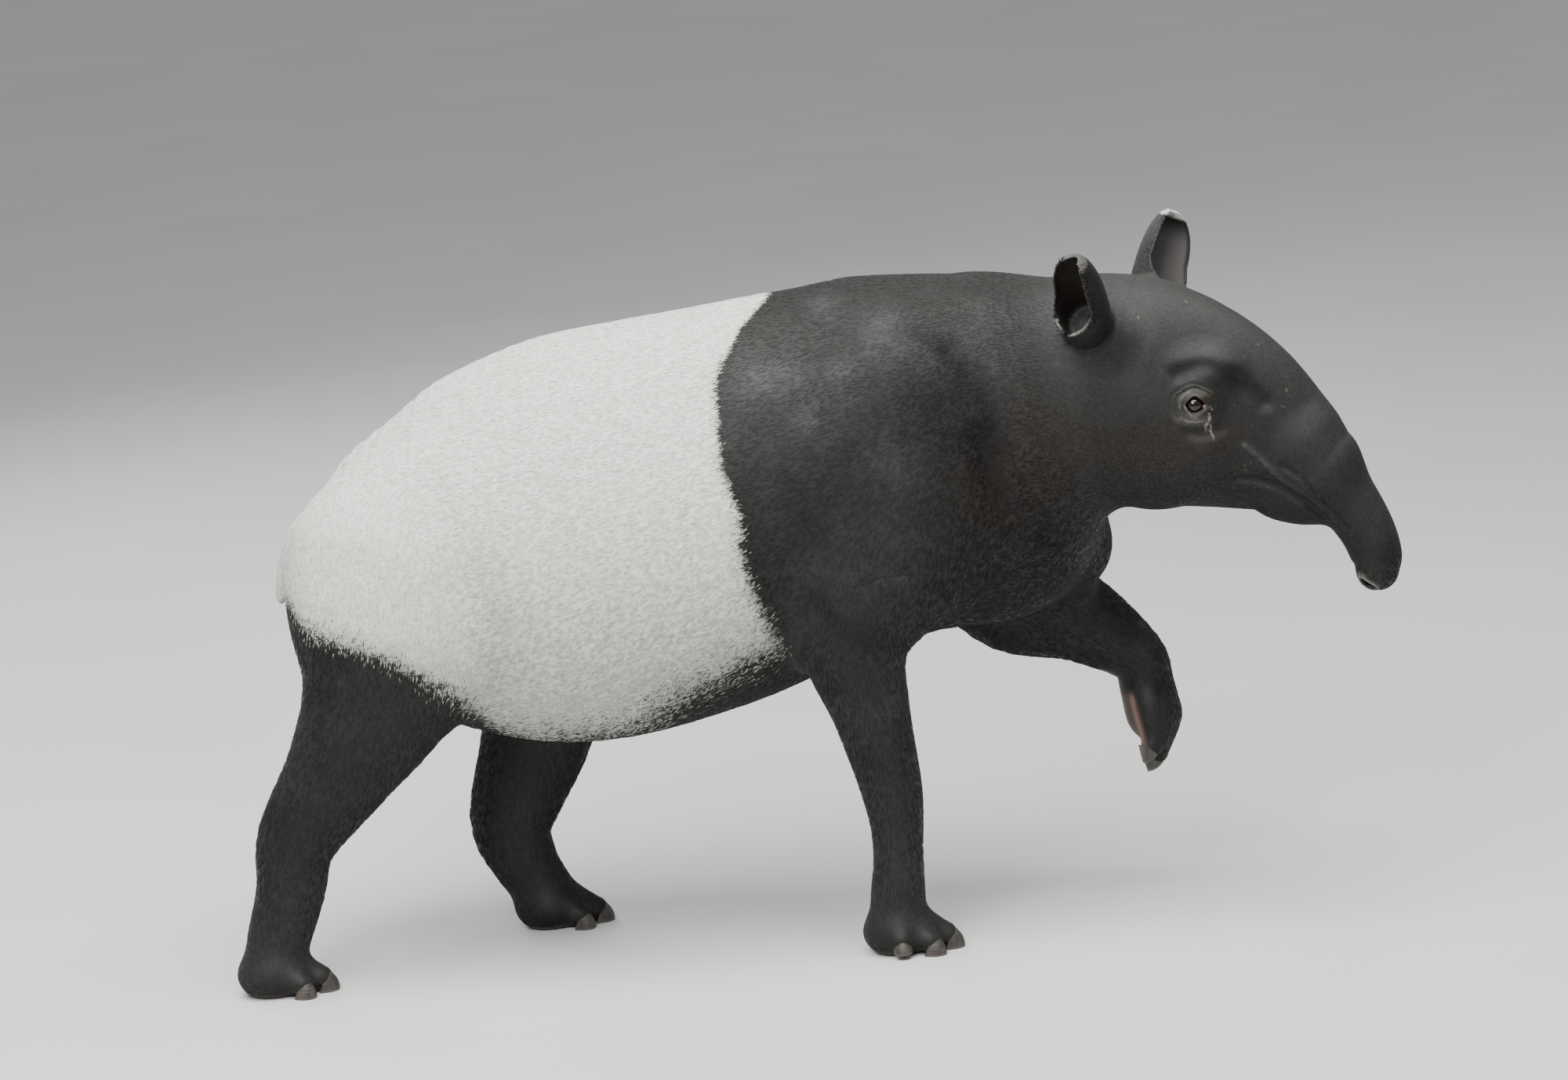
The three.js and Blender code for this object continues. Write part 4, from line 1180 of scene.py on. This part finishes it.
class Coat:
    """Flat tapered tufts, each a closed blade of four points: two at its root, its ridge and its tip."""

    LONGEST, SLIM = 12, 0.15  # length on the body; width as a share of the length
    COVER = 0.68  # share of the skin that the blades would cover laid side by side
    MOST = 49000  # tufts in one piece
    SUNK = 0.3  # how far a root is sunk in the skin
    MESSY = 0.13  # how far the hair strays from the way it lies
    LAYOUT = np.array([[-1, -1], [1, -1], [0, 0.2], [0, 1]], float)
    TRIANGLES = np.array([[1, 0, 2], [0, 3, 2], [1, 2, 3], [0, 1, 3]])
    PATCH = 0.0015  # half the size of a tuft's patch in the unwrap

    def __init__(self, points, quads, triangles, normals):
        self.draw = np.random.default_rng(20)
        self.points, self.normals = points, normals
        self.faces = np.vstack([quads[:, [0, 1, 2]], quads[:, [0, 2, 3]], triangles])
        self.sow()

    def sizes(self, p):
        """Length, width and rise of a tuft at a point."""
        x, _, z = p.T
        face = ramp(430, 520, x) * ramp(480, 560, z)
        foot = np.maximum(ramp(150, 40, z), ramp(440, 520, x) * ramp(330, 240, z))
        small = np.maximum(face, 0.75 * foot)
        fore = ramp(160, 280, x) * ramp(440, 540, z)
        long = self.LONGEST - np.maximum(7.4 * small, 2.5 * fore)
        ears = np.minimum(*(ear.leaf(p)[2] for ear in EARS.values()))
        long = long * (1 - 0.25 * (ears < 6)) * (1 - 0.4 * bell(saddle_edge(p), 1.6))
        return long, self.SLIM * long, np.maximum(0.75 * coat_depth(p) - 0.3, 0.3)

    def bare(self, p):
        """Where no hair grows: lids, lips, nostrils, soles and the depth of the ears."""
        found = p[:, 2] < 9
        for eye in EYES.values():
            s, h, g = eye.local(p)
            found |= (eye.opening(s, h) > -4.5) & (g > -8) & (np.hypot(s, h) < 34)
        for nostril in NOSTRILS:
            found |= nostril.hole.distance(p) < 4
        for mouth in MOUTHS:
            found |= mouth.gap(p) < 4.2
        for ear in EARS.values():
            v, share, gap, within = ear.leaf(p)
            found |= (gap < 8) & ((within & (share < 0.8) & (v < 0.6)) | (v > 0.93))
        line, line_on = hairlines(p)
        found |= (abs(line) < 2.4) & (line_on > 0.25)
        for place, _, _ in FEET.values():
            u = place.local(p)
            found |= (u[:, 2] < 10) & (np.linalg.norm(u, axis=1) < FOOT_REACH)
        return found

    def sow(self):
        """Roots and normals of the tufts, scattered over the faces."""
        a, b, c = (self.points[self.faces[:, i]] for i in range(3))
        area = np.linalg.norm(np.cross(b - a, c - a), axis=1) / 2
        long, wide, _ = self.sizes((a + b + c) / 3)
        share = area * self.COVER * TUFT_SHARE / (0.6 * long * wide)
        count = self.draw.poisson(share)
        face = np.repeat(np.arange(len(count)), count)
        u, v = self.draw.random((2, len(face)))
        flip = u + v > 1
        u[flip], v[flip] = 1 - u[flip], 1 - v[flip]
        w = np.stack([1 - u - v, u, v], 1)[:, :, None]
        corners = self.faces[face]
        root = (self.points[corners] * w).sum(1)
        normal = unit((self.normals[corners] * w).sum(1))
        keep = ~self.bare(root)
        self.root, self.normal = root[keep], normal[keep]

    def lie(self):
        """The way the hair lies: along the nearest limbs, up the ears, and down a little on the flanks. Each
        tuft's owner, and where it lies on its owner, are kept for the unwrap."""
        way = np.zeros_like(self.root)
        total = np.full(len(self.root), 1e-6)
        nearest = np.full(len(self.root), 1e6)
        self.owner = np.zeros(len(self.root), int)
        self.where = np.zeros((len(self.root), 2))
        for number, limb in enumerate(LIMBS.values()):
            aside, front, past, wide, deep, along, station = limb.section(self.root)
            thin = np.minimum(wide, deep)
            d = (np.sqrt((aside / wide) ** 2 + (front / deep) ** 2 + (past / thin) ** 2) - 1) * thin
            weight = np.exp(-np.clip(d, -60, 200) / 16)
            way += along * (limb.lie * weight)[:, None]
            total += weight
            closer = d < nearest
            nearest[closer] = d[closer]
            self.owner[closer] = number
            turn = np.arctan2(front, aside) / (2 * np.pi) + 0.5
            self.where[closer] = np.stack([station / (len(limb.points) - 1), turn], 1)[closer]
        way /= total[:, None]
        way[:, 2] -= 0.25 * ramp(400, 300, self.root[:, 0])
        for number, ear in enumerate(EARS.values(), len(LIMBS)):
            v, share, gap, _ = ear.leaf(self.root)
            on = gap < 7
            way[on] = ear.place.axes[2]
            self.owner[on] = number
            self.where[on] = np.stack([v, share * 0.45 + 0.05], 1)[on]
        return way

    def blades(self, root, normal, way, side):
        """Four points of each tuft, laid on the skin's field and lifted off it towards the tip."""
        draw, n = self.draw, len(root)
        long, wide, rise = self.sizes(root)
        long = long * draw.uniform(0.7, 1.25, n)
        wide = wide * draw.uniform(0.75, 1.2, n)
        rise = rise * draw.uniform(0.55, 1.0, n)
        spots = [root - normal * self.SUNK]
        for share, height in ((0.5, 0.75), (1.0, 0.95)):
            spot = root + way * (long * share)[:, None]
            off = skin_field(spot)
            ahead = (skin_field(spot + normal * PROBE) - off) / PROBE
            lift = rise * height - np.clip(off / np.maximum(ahead, 0.5), -4, 4)
            spots.append(spot + normal * lift[:, None])
        base, middle, tip = spots
        half = side * (wide / 2)[:, None]
        arch = ((middle - (base + tip) / 2) * normal).sum(1)
        ridge = middle + normal * np.maximum(0.22 * wide, 0.3 * wide - arch)[:, None]
        return np.stack([base - half, base + half, ridge, tip], 1), long

    def grown(self):
        """Points, custom normals and marks of all tufts."""
        root, normal, draw = self.root, self.normal, self.draw
        n = len(root)
        way = self.lie() + self.MESSY * draw.normal(size=(n, 3))
        way = unit(way - normal * (way * normal).sum(1)[:, None])
        side = np.cross(normal, way)
        points, long = self.blades(root, normal, way, side)
        shade = np.stack([unit(normal + 0.1 * k * side) for k in (-1, 1, 0, 0)], 1)
        marked = marks(root, normal)
        stray = np.clip(draw.normal(0, 0.65, n), -1.2, 1.2)
        marked["saddle"] = np.clip(3 * (marked["saddle"] + stray), -4, 4)
        marked["tone"] = np.clip(draw.normal(0, 0.5, n), -1, 1) * (0.35 + 0.65 * ramp(5, 12, long))
        return points, shade, marked

    # Whose hair a piece is made of, and the stretch along X that it covers
    PIECES = {
        "coat_ears": (("ear_right", "ear_left"), EVERYWHERE),
        "coat_head": (("skull", "proboscis"), (-np.inf, 620)),
        "coat_face": (("skull", "proboscis"), (620, 740)),
        "coat_proboscis": (("skull", "proboscis"), (740, np.inf)),
        "coat_neck": (("neck",), EVERYWHERE),
        "coat_shoulders": (("trunk",), (20, np.inf)),
        "coat_saddle": (("trunk",), (-330, 20)),
        "coat_rump": (("trunk", "tail"), (-np.inf, -330)),
        "coat_fore_legs": (("fore_right", "fore_left"), EVERYWHERE),
        "coat_hind_legs": (("hind_right", "hind_left"), EVERYWHERE),
    }

    def belonging(self, owners, stretch):
        x = self.root[:, 0]
        owned = np.isin(self.owner, [OWNERS.index(name) for name in owners])
        return np.nonzero(owned & (x > stretch[0]) & (x <= stretch[1]))[0]

    def unwrap(self, picked):
        """Each limb's chart is a strip of the square: across it round the limb, up it along the limb."""
        owners = np.unique(self.owner[picked])
        strip = np.searchsorted(owners, self.owner[picked])
        along, turn = self.where[picked].T
        across = (strip + 0.02 + 0.96 * turn) / len(owners)
        middle = np.stack([across, 0.01 + 0.98 * along], 1)
        return (middle[:, None] + self.PATCH * self.LAYOUT).reshape(-1, 2)

    def objects(self):
        points, shade, marked = self.grown()
        corners = points.shape[1]
        made = []
        for name, chosen in self.PIECES.items():
            picked = self.draw.permutation(self.belonging(*chosen))[: self.MOST]
            first = (np.arange(len(picked)) * corners)[:, None, None]
            faces = (first + self.TRIANGLES).reshape(-1, 3)
            attributes = {key: np.repeat(values[picked], corners) for key, values in marked.items()}
            positions, normals = points[picked].reshape(-1, 3), shade[picked].reshape(-1, 3)
            made.append(mesh_object(name, positions, [faces], attributes, normals, self.unwrap(picked)))
        return made


# Eyeballs and hooves
def turned(profile, around, axes, centre):
    """A closed mesh turned about the third axis from (radius, height) rows that start and end on it."""
    radius, height = np.array(profile[1:-1]).T[:, :, None]
    angle = 2 * np.pi * np.arange(around) / around
    ring = np.stack([radius * np.cos(angle), radius * np.sin(angle), height + 0 * angle], -1).reshape(-1, 3)
    points = np.vstack([ring, [0, 0, profile[0][1]], [0, 0, profile[-1][1]]])
    i = np.arange(around)
    j = (i + 1) % around
    rows = np.arange(len(radius) - 1)[:, None] * around
    quads = np.stack([rows + i, rows + j, rows + around + j, rows + around + i], -1).reshape(-1, 4)
    last = (len(radius) - 1) * around
    caps = np.vstack([
        np.stack([j, i, np.full(around, len(ring))], 1),
        np.stack([last + i, last + j, np.full(around, len(ring) + 1)], 1),
    ])
    return centre + points @ axes, quads[:, ::-1], caps[:, ::-1], points


def eyeball(name, eye):
    """A ball with a clear bulge in front, marked by the angle from its axis."""
    degrees = np.linspace(0, 180, 61)
    radius = EYE_RADIUS + 1.3 * bell(degrees, 34) - 0.25
    angle = np.radians(degrees)
    profile = np.stack([radius * np.sin(angle), radius * np.cos(angle)], 1)
    points, quads, caps, own = turned(profile, 72, eye.axes, eye.centre)
    angle = np.degrees(np.arctan2(np.hypot(own[:, 0], own[:, 1]), own[:, 2]))
    around = np.degrees(np.arctan2(own[:, 1], own[:, 0]))
    return mesh_object(name + "_ball", points, [quads, caps], {"off_axis": angle, "around": around})


class Hoof:
    """The horn round the end of a toe, ridged across and worn at its lower edge."""

    LENGTH, HALF_WIDTH, HEIGHT = 27.0, 17 * 1.18, 17 * 1.9
    RAKE = math.tan(math.radians(24))
    ACROSS, UP = 40, 22  # faces round it and up it
    SNUG = 0.985  # how much smaller it is than the solid's hoof

    def __init__(self, name, place, left, degrees, reach, scale, lift):
        self.name = name
        a = math.radians(degrees) * left
        origin = place.at([(reach + 1) * math.cos(a), (reach + 1) * math.sin(a), lift])
        self.tip = Place(origin, place.turn([math.cos(a), math.sin(a), 0]), place.axes[2])
        self.scale = scale * self.SNUG

    def object(self):
        length, wide, high = (v * self.scale for v in (self.LENGTH, self.HALF_WIDTH, self.HEIGHT))
        turn = np.linspace(-np.pi / 2, np.pi / 2, self.ACROSS + 1)[:, None]
        t = np.linspace(0, 1, self.UP + 1)[None]
        rise = t * np.maximum(np.arctan2(length * np.cos(turn), self.RAKE * high), 1e-3)
        height = high * np.sin(rise)
        ridges = 0.28 * np.sin(height * 1.7 + 0.5 * np.sin(3 * turn)) + 0.18 * np.sin(height * 4.1 + 2 * turn)
        worn = 0.9 * bell(height, 2.2) * (1 + 0.5 * np.sin(9 * turn))
        crown = 0.7 * bell(1 - t, 0.10)
        shrink = 1 - (0.45 + ridges + worn - crown * 0.5) / length
        x = length * np.cos(rise) * np.cos(turn) * shrink
        y = wide * np.cos(rise) * np.sin(turn) * shrink
        points = np.stack([x, y, height + 0 * x], -1).reshape(-1, 3)
        points = np.vstack([points, [0, 0, 0]])
        node = np.arange((self.ACROSS + 1) * (self.UP + 1)).reshape(self.ACROSS + 1, self.UP + 1)
        quads = np.stack([node[:-1, :-1], node[1:, :-1], node[1:, 1:], node[:-1, 1:]], -1).reshape(-1, 4)
        middle = np.full(self.ACROSS, len(points) - 1)
        sole = np.stack([middle, node[1:, 0], node[:-1, 0]], 1)
        crest = np.stack([middle, node[:-1, -1], node[1:, -1]], 1)
        levels = points[:, 2] / high
        faces = [quads, np.vstack([sole, crest])]
        return mesh_object(self.name, self.tip.at(points), faces, {"height": levels})


# Finishes
class Value:
    """A socket of a finish. Sums and products of values add Math nodes."""

    def __init__(self, finish, socket):
        self.finish, self.socket = finish, socket

    def math(self, operation, *others):
        return self.finish.math(operation, self, *others)

    def __add__(self, other):
        return self.math("ADD", other)

    def __radd__(self, other):
        return self.math("ADD", other)

    def __sub__(self, other):
        return self.math("SUBTRACT", other)

    def __rsub__(self, other):
        return self.finish.math("SUBTRACT", other, self)

    def __mul__(self, other):
        return self.math("MULTIPLY", other)

    def above_zero(self):
        return self.math("MAXIMUM", 0.0)

    def bell(self, steepness):
        """One where this value is zero, falling away on both sides."""
        return (self * self * -steepness).math("EXPONENT")

    def step(self, low, high, bottom=0.0, top=1.0):
        """From bottom to top, smoothly, as this value goes from low to high."""
        settings = {"interpolation_type": "SMOOTHSTEP"}
        sockets = {"Value": self, "From Min": low, "From Max": high, "To Min": bottom, "To Max": top}
        return self.finish.node("ShaderNodeMapRange", settings, sockets)


class Finish:
    """A material: nodes are added by one method, and what varies is linked into its shader."""

    def __init__(self, name, **constants):
        self.material = bpy.data.materials.new(name)
        self.material.use_nodes = True
        self.nodes = self.material.node_tree.nodes
        self.links = self.material.node_tree.links
        self.shader = self.nodes["Principled BSDF"]
        for key, value in constants.items():
            self.shader.inputs[key.replace("_", " ")].default_value = value
        self.place = self.node("ShaderNodeTexCoord", out="Object")

    def set(self, socket, value):
        if isinstance(value, Value):
            self.links.new(value.socket, socket)
        elif hasattr(socket.default_value, "__len__") and len(socket.default_value) == 4:
            socket.default_value = (*value, 1.0)
        else:
            socket.default_value = value

    def node(self, kind, settings=None, sockets=None, out=0):
        made = self.nodes.new(kind)
        for key, value in (settings or {}).items():
            setattr(made, key, value)
        for key, value in (sockets or {}).items():
            self.set(made.inputs[key], value)
        return Value(self, made.outputs[out])

    def math(self, operation, *values):
        return self.node("ShaderNodeMath", {"operation": operation}, dict(enumerate(values)))

    def mark(self, name):
        return self.node("ShaderNodeAttribute", {"attribute_name": name}, out="Fac")

    def mix(self, share, a, b):
        return self.node("ShaderNodeMix", {"data_type": "RGBA"}, {0: share, 6: a, 7: b}, out=2)

    def layers(self, colour, *rows):
        """A colour with others laid over it, from (share, colour) rows."""
        for share, over in rows:
            colour = self.mix(share, colour, over)
        return colour

    def noise(self, scale, detail, rough=0.55, stretch=(1, 1, 1)):
        where = self.node("ShaderNodeVectorMath", {"operation": "MULTIPLY"}, {0: self.place, 1: stretch})
        sockets = {"Vector": where, "Scale": scale, "Detail": detail, "Roughness": rough}
        return self.node("ShaderNodeTexNoise", sockets=sockets)

    def finished(self, colour, roughness, height=None, strength=0.4, distance=0.001):
        self.set(self.shader.inputs["Base Color"], colour)
        self.set(self.shader.inputs["Roughness"], roughness)
        if height is not None:
            sockets = {"Strength": strength, "Distance": distance, "Height": height}
            self.set(self.shader.inputs["Normal"], self.node("ShaderNodeBump", sockets=sockets))
        return self.material


class CoatFinish(Finish):
    """Fur and bare skin: what varies comes from the marks and from noise. Hair runs along the body, but down
    the legs."""

    def __init__(self):
        super().__init__("tapir coat", Specular_IOR_Level=0.28, Sheen_Weight=0.05, Sheen_Roughness=0.45)
        lying = self.noise(420, 3, 0.6, (0.22, 1, 1))
        hanging = self.noise(420, 3, 0.6, (1, 1, 0.22))
        self.strand = lying + (hanging - lying) * self.mark("leg")
        self.cloud = self.noise(5.5, 4, 0.6)
        self.patch = self.noise(17, 4, 0.65)
        self.speck = self.noise(160, 2, 0.5)
        self.drift = self.noise(60, 5, 0.7, (0.5, 1, 1))
        self.head, self.border, self.under = self.mark("head"), self.mark("saddle"), self.mark("under")

    def black(self):
        flecks = self.noise(75, 2, 0.5).step(0.72, 0.78) * self.head
        return self.layers(
            self.mix(self.cloud.step(0.35, 0.7), (0.0095, 0.009, 0.0078), (0.0225, 0.022, 0.0202)),
            (self.patch.step(0.5, 0.75) * 0.45, (0.041, 0.042, 0.043)),
            # Painted light: the black is paler where the skin faces up.
            (self.mark("top") * (0.04 + self.head * 0.76), (0.046, 0.046, 0.044)),
            # Dust on the shoulders, and a painted highlight along the lips.
            (self.mark("dust_and_lip_highlight") * self.drift.step(0.3, 0.6, 0.25, 1.0) * 0.45, (0.095, 0.097, 0.098)),
            (flecks * 0.5, (0.16, 0.155, 0.14)),
            (self.mark("brown") * 0.75, (0.040, 0.025, 0.018)),
            (self.mark("olive") * 0.7, (0.042, 0.038, 0.022)),
            (self.speck.step(0.68, 0.8) * self.patch.step(0.5, 0.62) * 0.3, (0.12, 0.115, 0.105)),
            (self.strand.step(0.7, 0.3) * 0.35, (0.005, 0.005, 0.005)),
            (self.mark("shade") * 0.92, (0.0055, 0.005, 0.0042)),
            # Painted shade: near black where the skin faces down.
            (self.under * 0.88, (0.0045, 0.004, 0.0035)),
        )

    def white(self):
        return self.layers(
            self.mix(self.strand.step(0.32, 0.62), (0.60, 0.59, 0.545), (0.80, 0.795, 0.75)),
            (self.drift.step(0.42, 0.66) * 0.35, (0.62, 0.605, 0.55)),
            (self.cloud.step(0.45, 0.75) * 0.25, (0.64, 0.62, 0.56)),
            # Painted shade: greyer white where the skin faces down.
            (self.under * 0.6, (0.40, 0.385, 0.34)),
            # Greyer in blotches near the saddle's border: partly black hairs mixing in, partly painted shade.
            (self.border.step(2.4, 0.0) * 0.5 * self.drift.step(0.35, 0.6), (0.26, 0.25, 0.235)),
        )

    def ears(self, colour):
        inner = self.mark("inner")
        return self.layers(
            colour,
            # Painted shade inside the near ear's cup.
            (inner.above_zero() * 0.55, (0.020, 0.013, 0.010)),
            # Painted light inside the far ear's cup.
            ((0 - inner).above_zero(), (0.115, 0.108, 0.104)),
            (self.mark("frost") * self.drift.step(0.35, 0.5, 0.55, 1.0), (0.66, 0.64, 0.60)),
        )

    def bare_parts(self, colour, bare):
        return self.layers(
            colour,
            (bare * 0.85, (0.009, 0.007, 0.006)),
            (self.mark("sole") * 0.8, (0.050, 0.034, 0.028)),
            # Paler rims round the eyes and nostrils, and the painted sheen and glints of the tear.
            (self.mark("pale") * self.speck.step(0.3, 0.6, 0.55, 1.0), (0.30, 0.285, 0.265)),
            (self.mark("pink") * 0.85, (0.32, 0.20, 0.165)),
        )

    def made(self):
        edge = self.border + (self.drift - 0.5) * 3.2 + (self.strand - 0.5) * 2.2
        saddle = edge.step(-0.55, 0.55)
        colour = self.ears(self.mix(saddle, self.black(), self.white()))

        line, line_on, fold = self.mark("line"), self.mark("line_on"), self.mark("fold")
        # Masks along the bottom of crisp folds and along their lips: painted shade and painted highlight in
        # the colour, and also part of the bump.
        notch = line.bell(0.16) * line_on
        lip = (line - 4.5).bell(0.1) * line_on
        tone_and_painted_light = 1 + self.mark("tone") * (0.08 + saddle * 0.12)
        # Painted shade in furrows and a painted highlight on ridges.
        tone_and_painted_light = tone_and_painted_light - fold.above_zero() * 0.5 + (0 - fold).above_zero() * 0.45
        tone_and_painted_light = (tone_and_painted_light - notch * 0.7 + lip * 0.5).math("MAXIMUM", 0.25)
        colour = self.node("ShaderNodeVectorMath", {"operation": "SCALE"}, {0: colour, "Scale": tone_and_painted_light})
        bare = self.mark("bare")
        colour = self.bare_parts(colour, bare)

        roughness = 0.50 + saddle * 0.22 + self.cloud * 0.12 - bare * 0.2
        rings = (self.mark("snout") * 0.55 + self.noise(28, 3, 0.6) * 9).math("SINE")
        wrinkle = rings * self.mark("wrinkle") * self.patch.step(0.35, 0.6, 0.25, 1.0)
        fur = (self.strand * 0.8 + self.drift * 0.3 + self.speck * 0.2) * (1 - self.head * 0.5)
        return self.finished(colour, roughness, fur + wrinkle * 0.06 - notch * 2.0 + lip * 0.6, 0.3)


def eye_finish():
    f = Finish("tapir eye", Specular_IOR_Level=0.3, Coat_Weight=0.7, Coat_Roughness=0.02)
    off, around = f.mark("off_axis"), f.mark("around")
    fan = f.node("ShaderNodeCombineXYZ", sockets={0: around * 0.22, 1: off * 0.03})
    sockets = {"Vector": fan, "Scale": 1.0, "Detail": 3.0}
    spokes = f.node("ShaderNodeTexNoise", {"noise_dimensions": "2D"}, sockets)
    iris = f.mix(spokes.step(0.35, 0.7), (0.006, 0.004, 0.003), (0.026, 0.014, 0.008))
    pupil = (0.0012, 0.0012, 0.0016)
    colour = f.layers(
        pupil,
        (off.step(20, 24), iris),
        (off.step(38, 46), (0.006, 0.004, 0.004)),
        (off.step(58, 70), (0.12, 0.075, 0.06)),
    )
    return f.finished(colour, 0.12 + off.step(50, 70) * 0.1)


def hoof_finish():
    f = Finish("tapir hoof", Specular_IOR_Level=0.45)
    height = f.mark("height")
    grain = f.noise(90, 4, 0.6, (1, 1, 0.18))
    rings = (height * 34 + f.noise(40, 3) * 5).math("SINE")
    colour = f.layers(
        (0.030, 0.026, 0.023),
        (grain.step(0.3, 0.7), (0.078, 0.066, 0.056)),
        (height.step(0.16, 0.0) * 0.6, (0.17, 0.145, 0.12)),
        (height.step(0.72, 0.95) * 0.5, (0.055, 0.042, 0.036)),
    )
    return f.finished(colour, 0.42 + grain * 0.25, grain * 0.6 + rings * 0.25, 0.5, 0.0008)


def floor_finish():
    f = Finish("studio floor", Specular_IOR_Level=0.3)
    cloud = f.noise(1.4, 3, 0.5)
    return f.finished(f.mix(cloud.step(0.3, 0.7), (0.70, 0.70, 0.69), (0.73, 0.73, 0.72)), 0.8 + cloud * 0.1)


def dress(piece, finish, slot, *nodes):
    piece.data.materials.append(finish)
    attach(piece, "root")
    if nodes:
        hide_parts(*nodes)


def build_animal():
    coat = CoatFinish().made()
    points, quads, triangles = drawn_skin()
    normals = corner_normals(points, quads, triangles)
    skin = mesh_object("skin", points, [quads, triangles], marks(points, normals))
    flesh_nodes = [n for n in frame["nodes"] if not n.startswith(("eye", "hoof"))]
    dress(skin, coat, "coat", *flesh_nodes)
    for piece in Coat(points, quads, triangles, normals).objects():
        dress(piece, coat, "saddle" if piece.name == "coat_saddle" else "coat")

    wet = eye_finish()
    for name, eye in EYES.items():
        dress(eyeball(name, eye), wet, "eye", name)

    horn = hoof_finish()
    for foot, (place, left, toes) in FEET.items():
        for toe_name, numbers in toes.items():
            node = f"hoof_{foot}_{toe_name}"
            dress(Hoof(node + "_horn", place, left, *numbers).object(), horn, "horn", node)


# The studio: the camera where the photograph was taken from, measured from the animal
CAMERA_AZIMUTH, CAMERA_RISE, CAMERA_ROLL = 6.0, 11.0, 5.5  # degrees
CAMERA_DISTANCE = 9.0
CAMERA_AIM = (0.0, 0.0, 0.612)
SENSOR = 36.0
FOCAL_PIXELS, FRAME_PIXELS = 7578, 2000


def matrix(*columns):
    rows = np.array(columns, float).T
    return mathutils.Matrix([*rows.tolist(), [0, 0, 0, 1]])


def build_camera():
    azimuth, rise, roll = np.radians([CAMERA_AZIMUTH, CAMERA_RISE, CAMERA_ROLL])
    level = np.array([math.cos(azimuth), math.sin(azimuth), 0.0])
    back = np.array([level[1] * math.cos(rise), -level[0] * math.cos(rise), math.sin(rise)])
    upright = np.cross(back, level)
    right = level * math.cos(roll) - upright * math.sin(roll)
    up = level * math.sin(roll) + upright * math.cos(roll)
    place = SHIFT + np.array(CAMERA_AIM) + back * CAMERA_DISTANCE
    lens = bpy.data.cameras.new("photo_camera")
    lens.sensor_fit, lens.sensor_width = "HORIZONTAL", SENSOR
    lens.lens = SENSOR * FOCAL_PIXELS / FRAME_PIXELS
    lens.clip_end = 200
    camera = bpy.data.objects.new("photo_camera", lens)
    camera.matrix_basis = matrix(right, up, back, place)
    bpy.context.scene.collection.objects.link(camera)
    bpy.context.scene.camera = camera


def soft_light(name, place, target, size, power, colour=(1, 1, 1)):
    lamp = bpy.data.lights.new(name, "AREA")
    lamp.shape, lamp.size, lamp.size_y = "RECTANGLE", *size
    lamp.energy, lamp.color = power, colour
    made = bpy.data.objects.new(name, lamp)
    z = unit(np.array(place, float) - np.array(target, float))
    x = unit(np.cross((0.02, 0.01, 1.0), z))
    made.matrix_basis = matrix(x, np.cross(z, x), z, place)
    bpy.context.scene.collection.objects.link(made)


def build_studio():
    half = 40.0
    corners = [(-half, -half, 0), (half, -half, 0), (half, half, 0), (-half, half, 0)]
    mesh = bpy.data.meshes.new("studio_floor")
    mesh.from_pydata(corners, [], [(0, 1, 2, 3)])
    floor = bpy.data.objects.new("studio_floor", mesh)
    bpy.context.scene.collection.objects.link(floor)
    mesh.materials.append(floor_finish())
    soft_light("overhead", (-0.1, -1.2, 4.2), (0, 0, 0.6), (4.5, 3.2), 330, (1.0, 0.995, 0.97))
    soft_light("front", (-0.9, -4.4, 3.9), (0.1, 0, 0.6), (2.6, 1.9), 190, (0.97, 0.985, 1.0))
    soft_light("behind", (-2.8, 3.8, 3.0), (0, 0, 0.7), (3.0, 2.0), 110, (0.98, 1.0, 0.97))
    world = bpy.data.worlds.new("studio")
    world.use_nodes = True
    world.node_tree.nodes["Background"].inputs[0].default_value = (0.86, 0.88, 0.90, 1)
    world.node_tree.nodes["Background"].inputs[1].default_value = 0.45
    bpy.context.scene.world = world


build_camera()
build_animal()
build_studio()
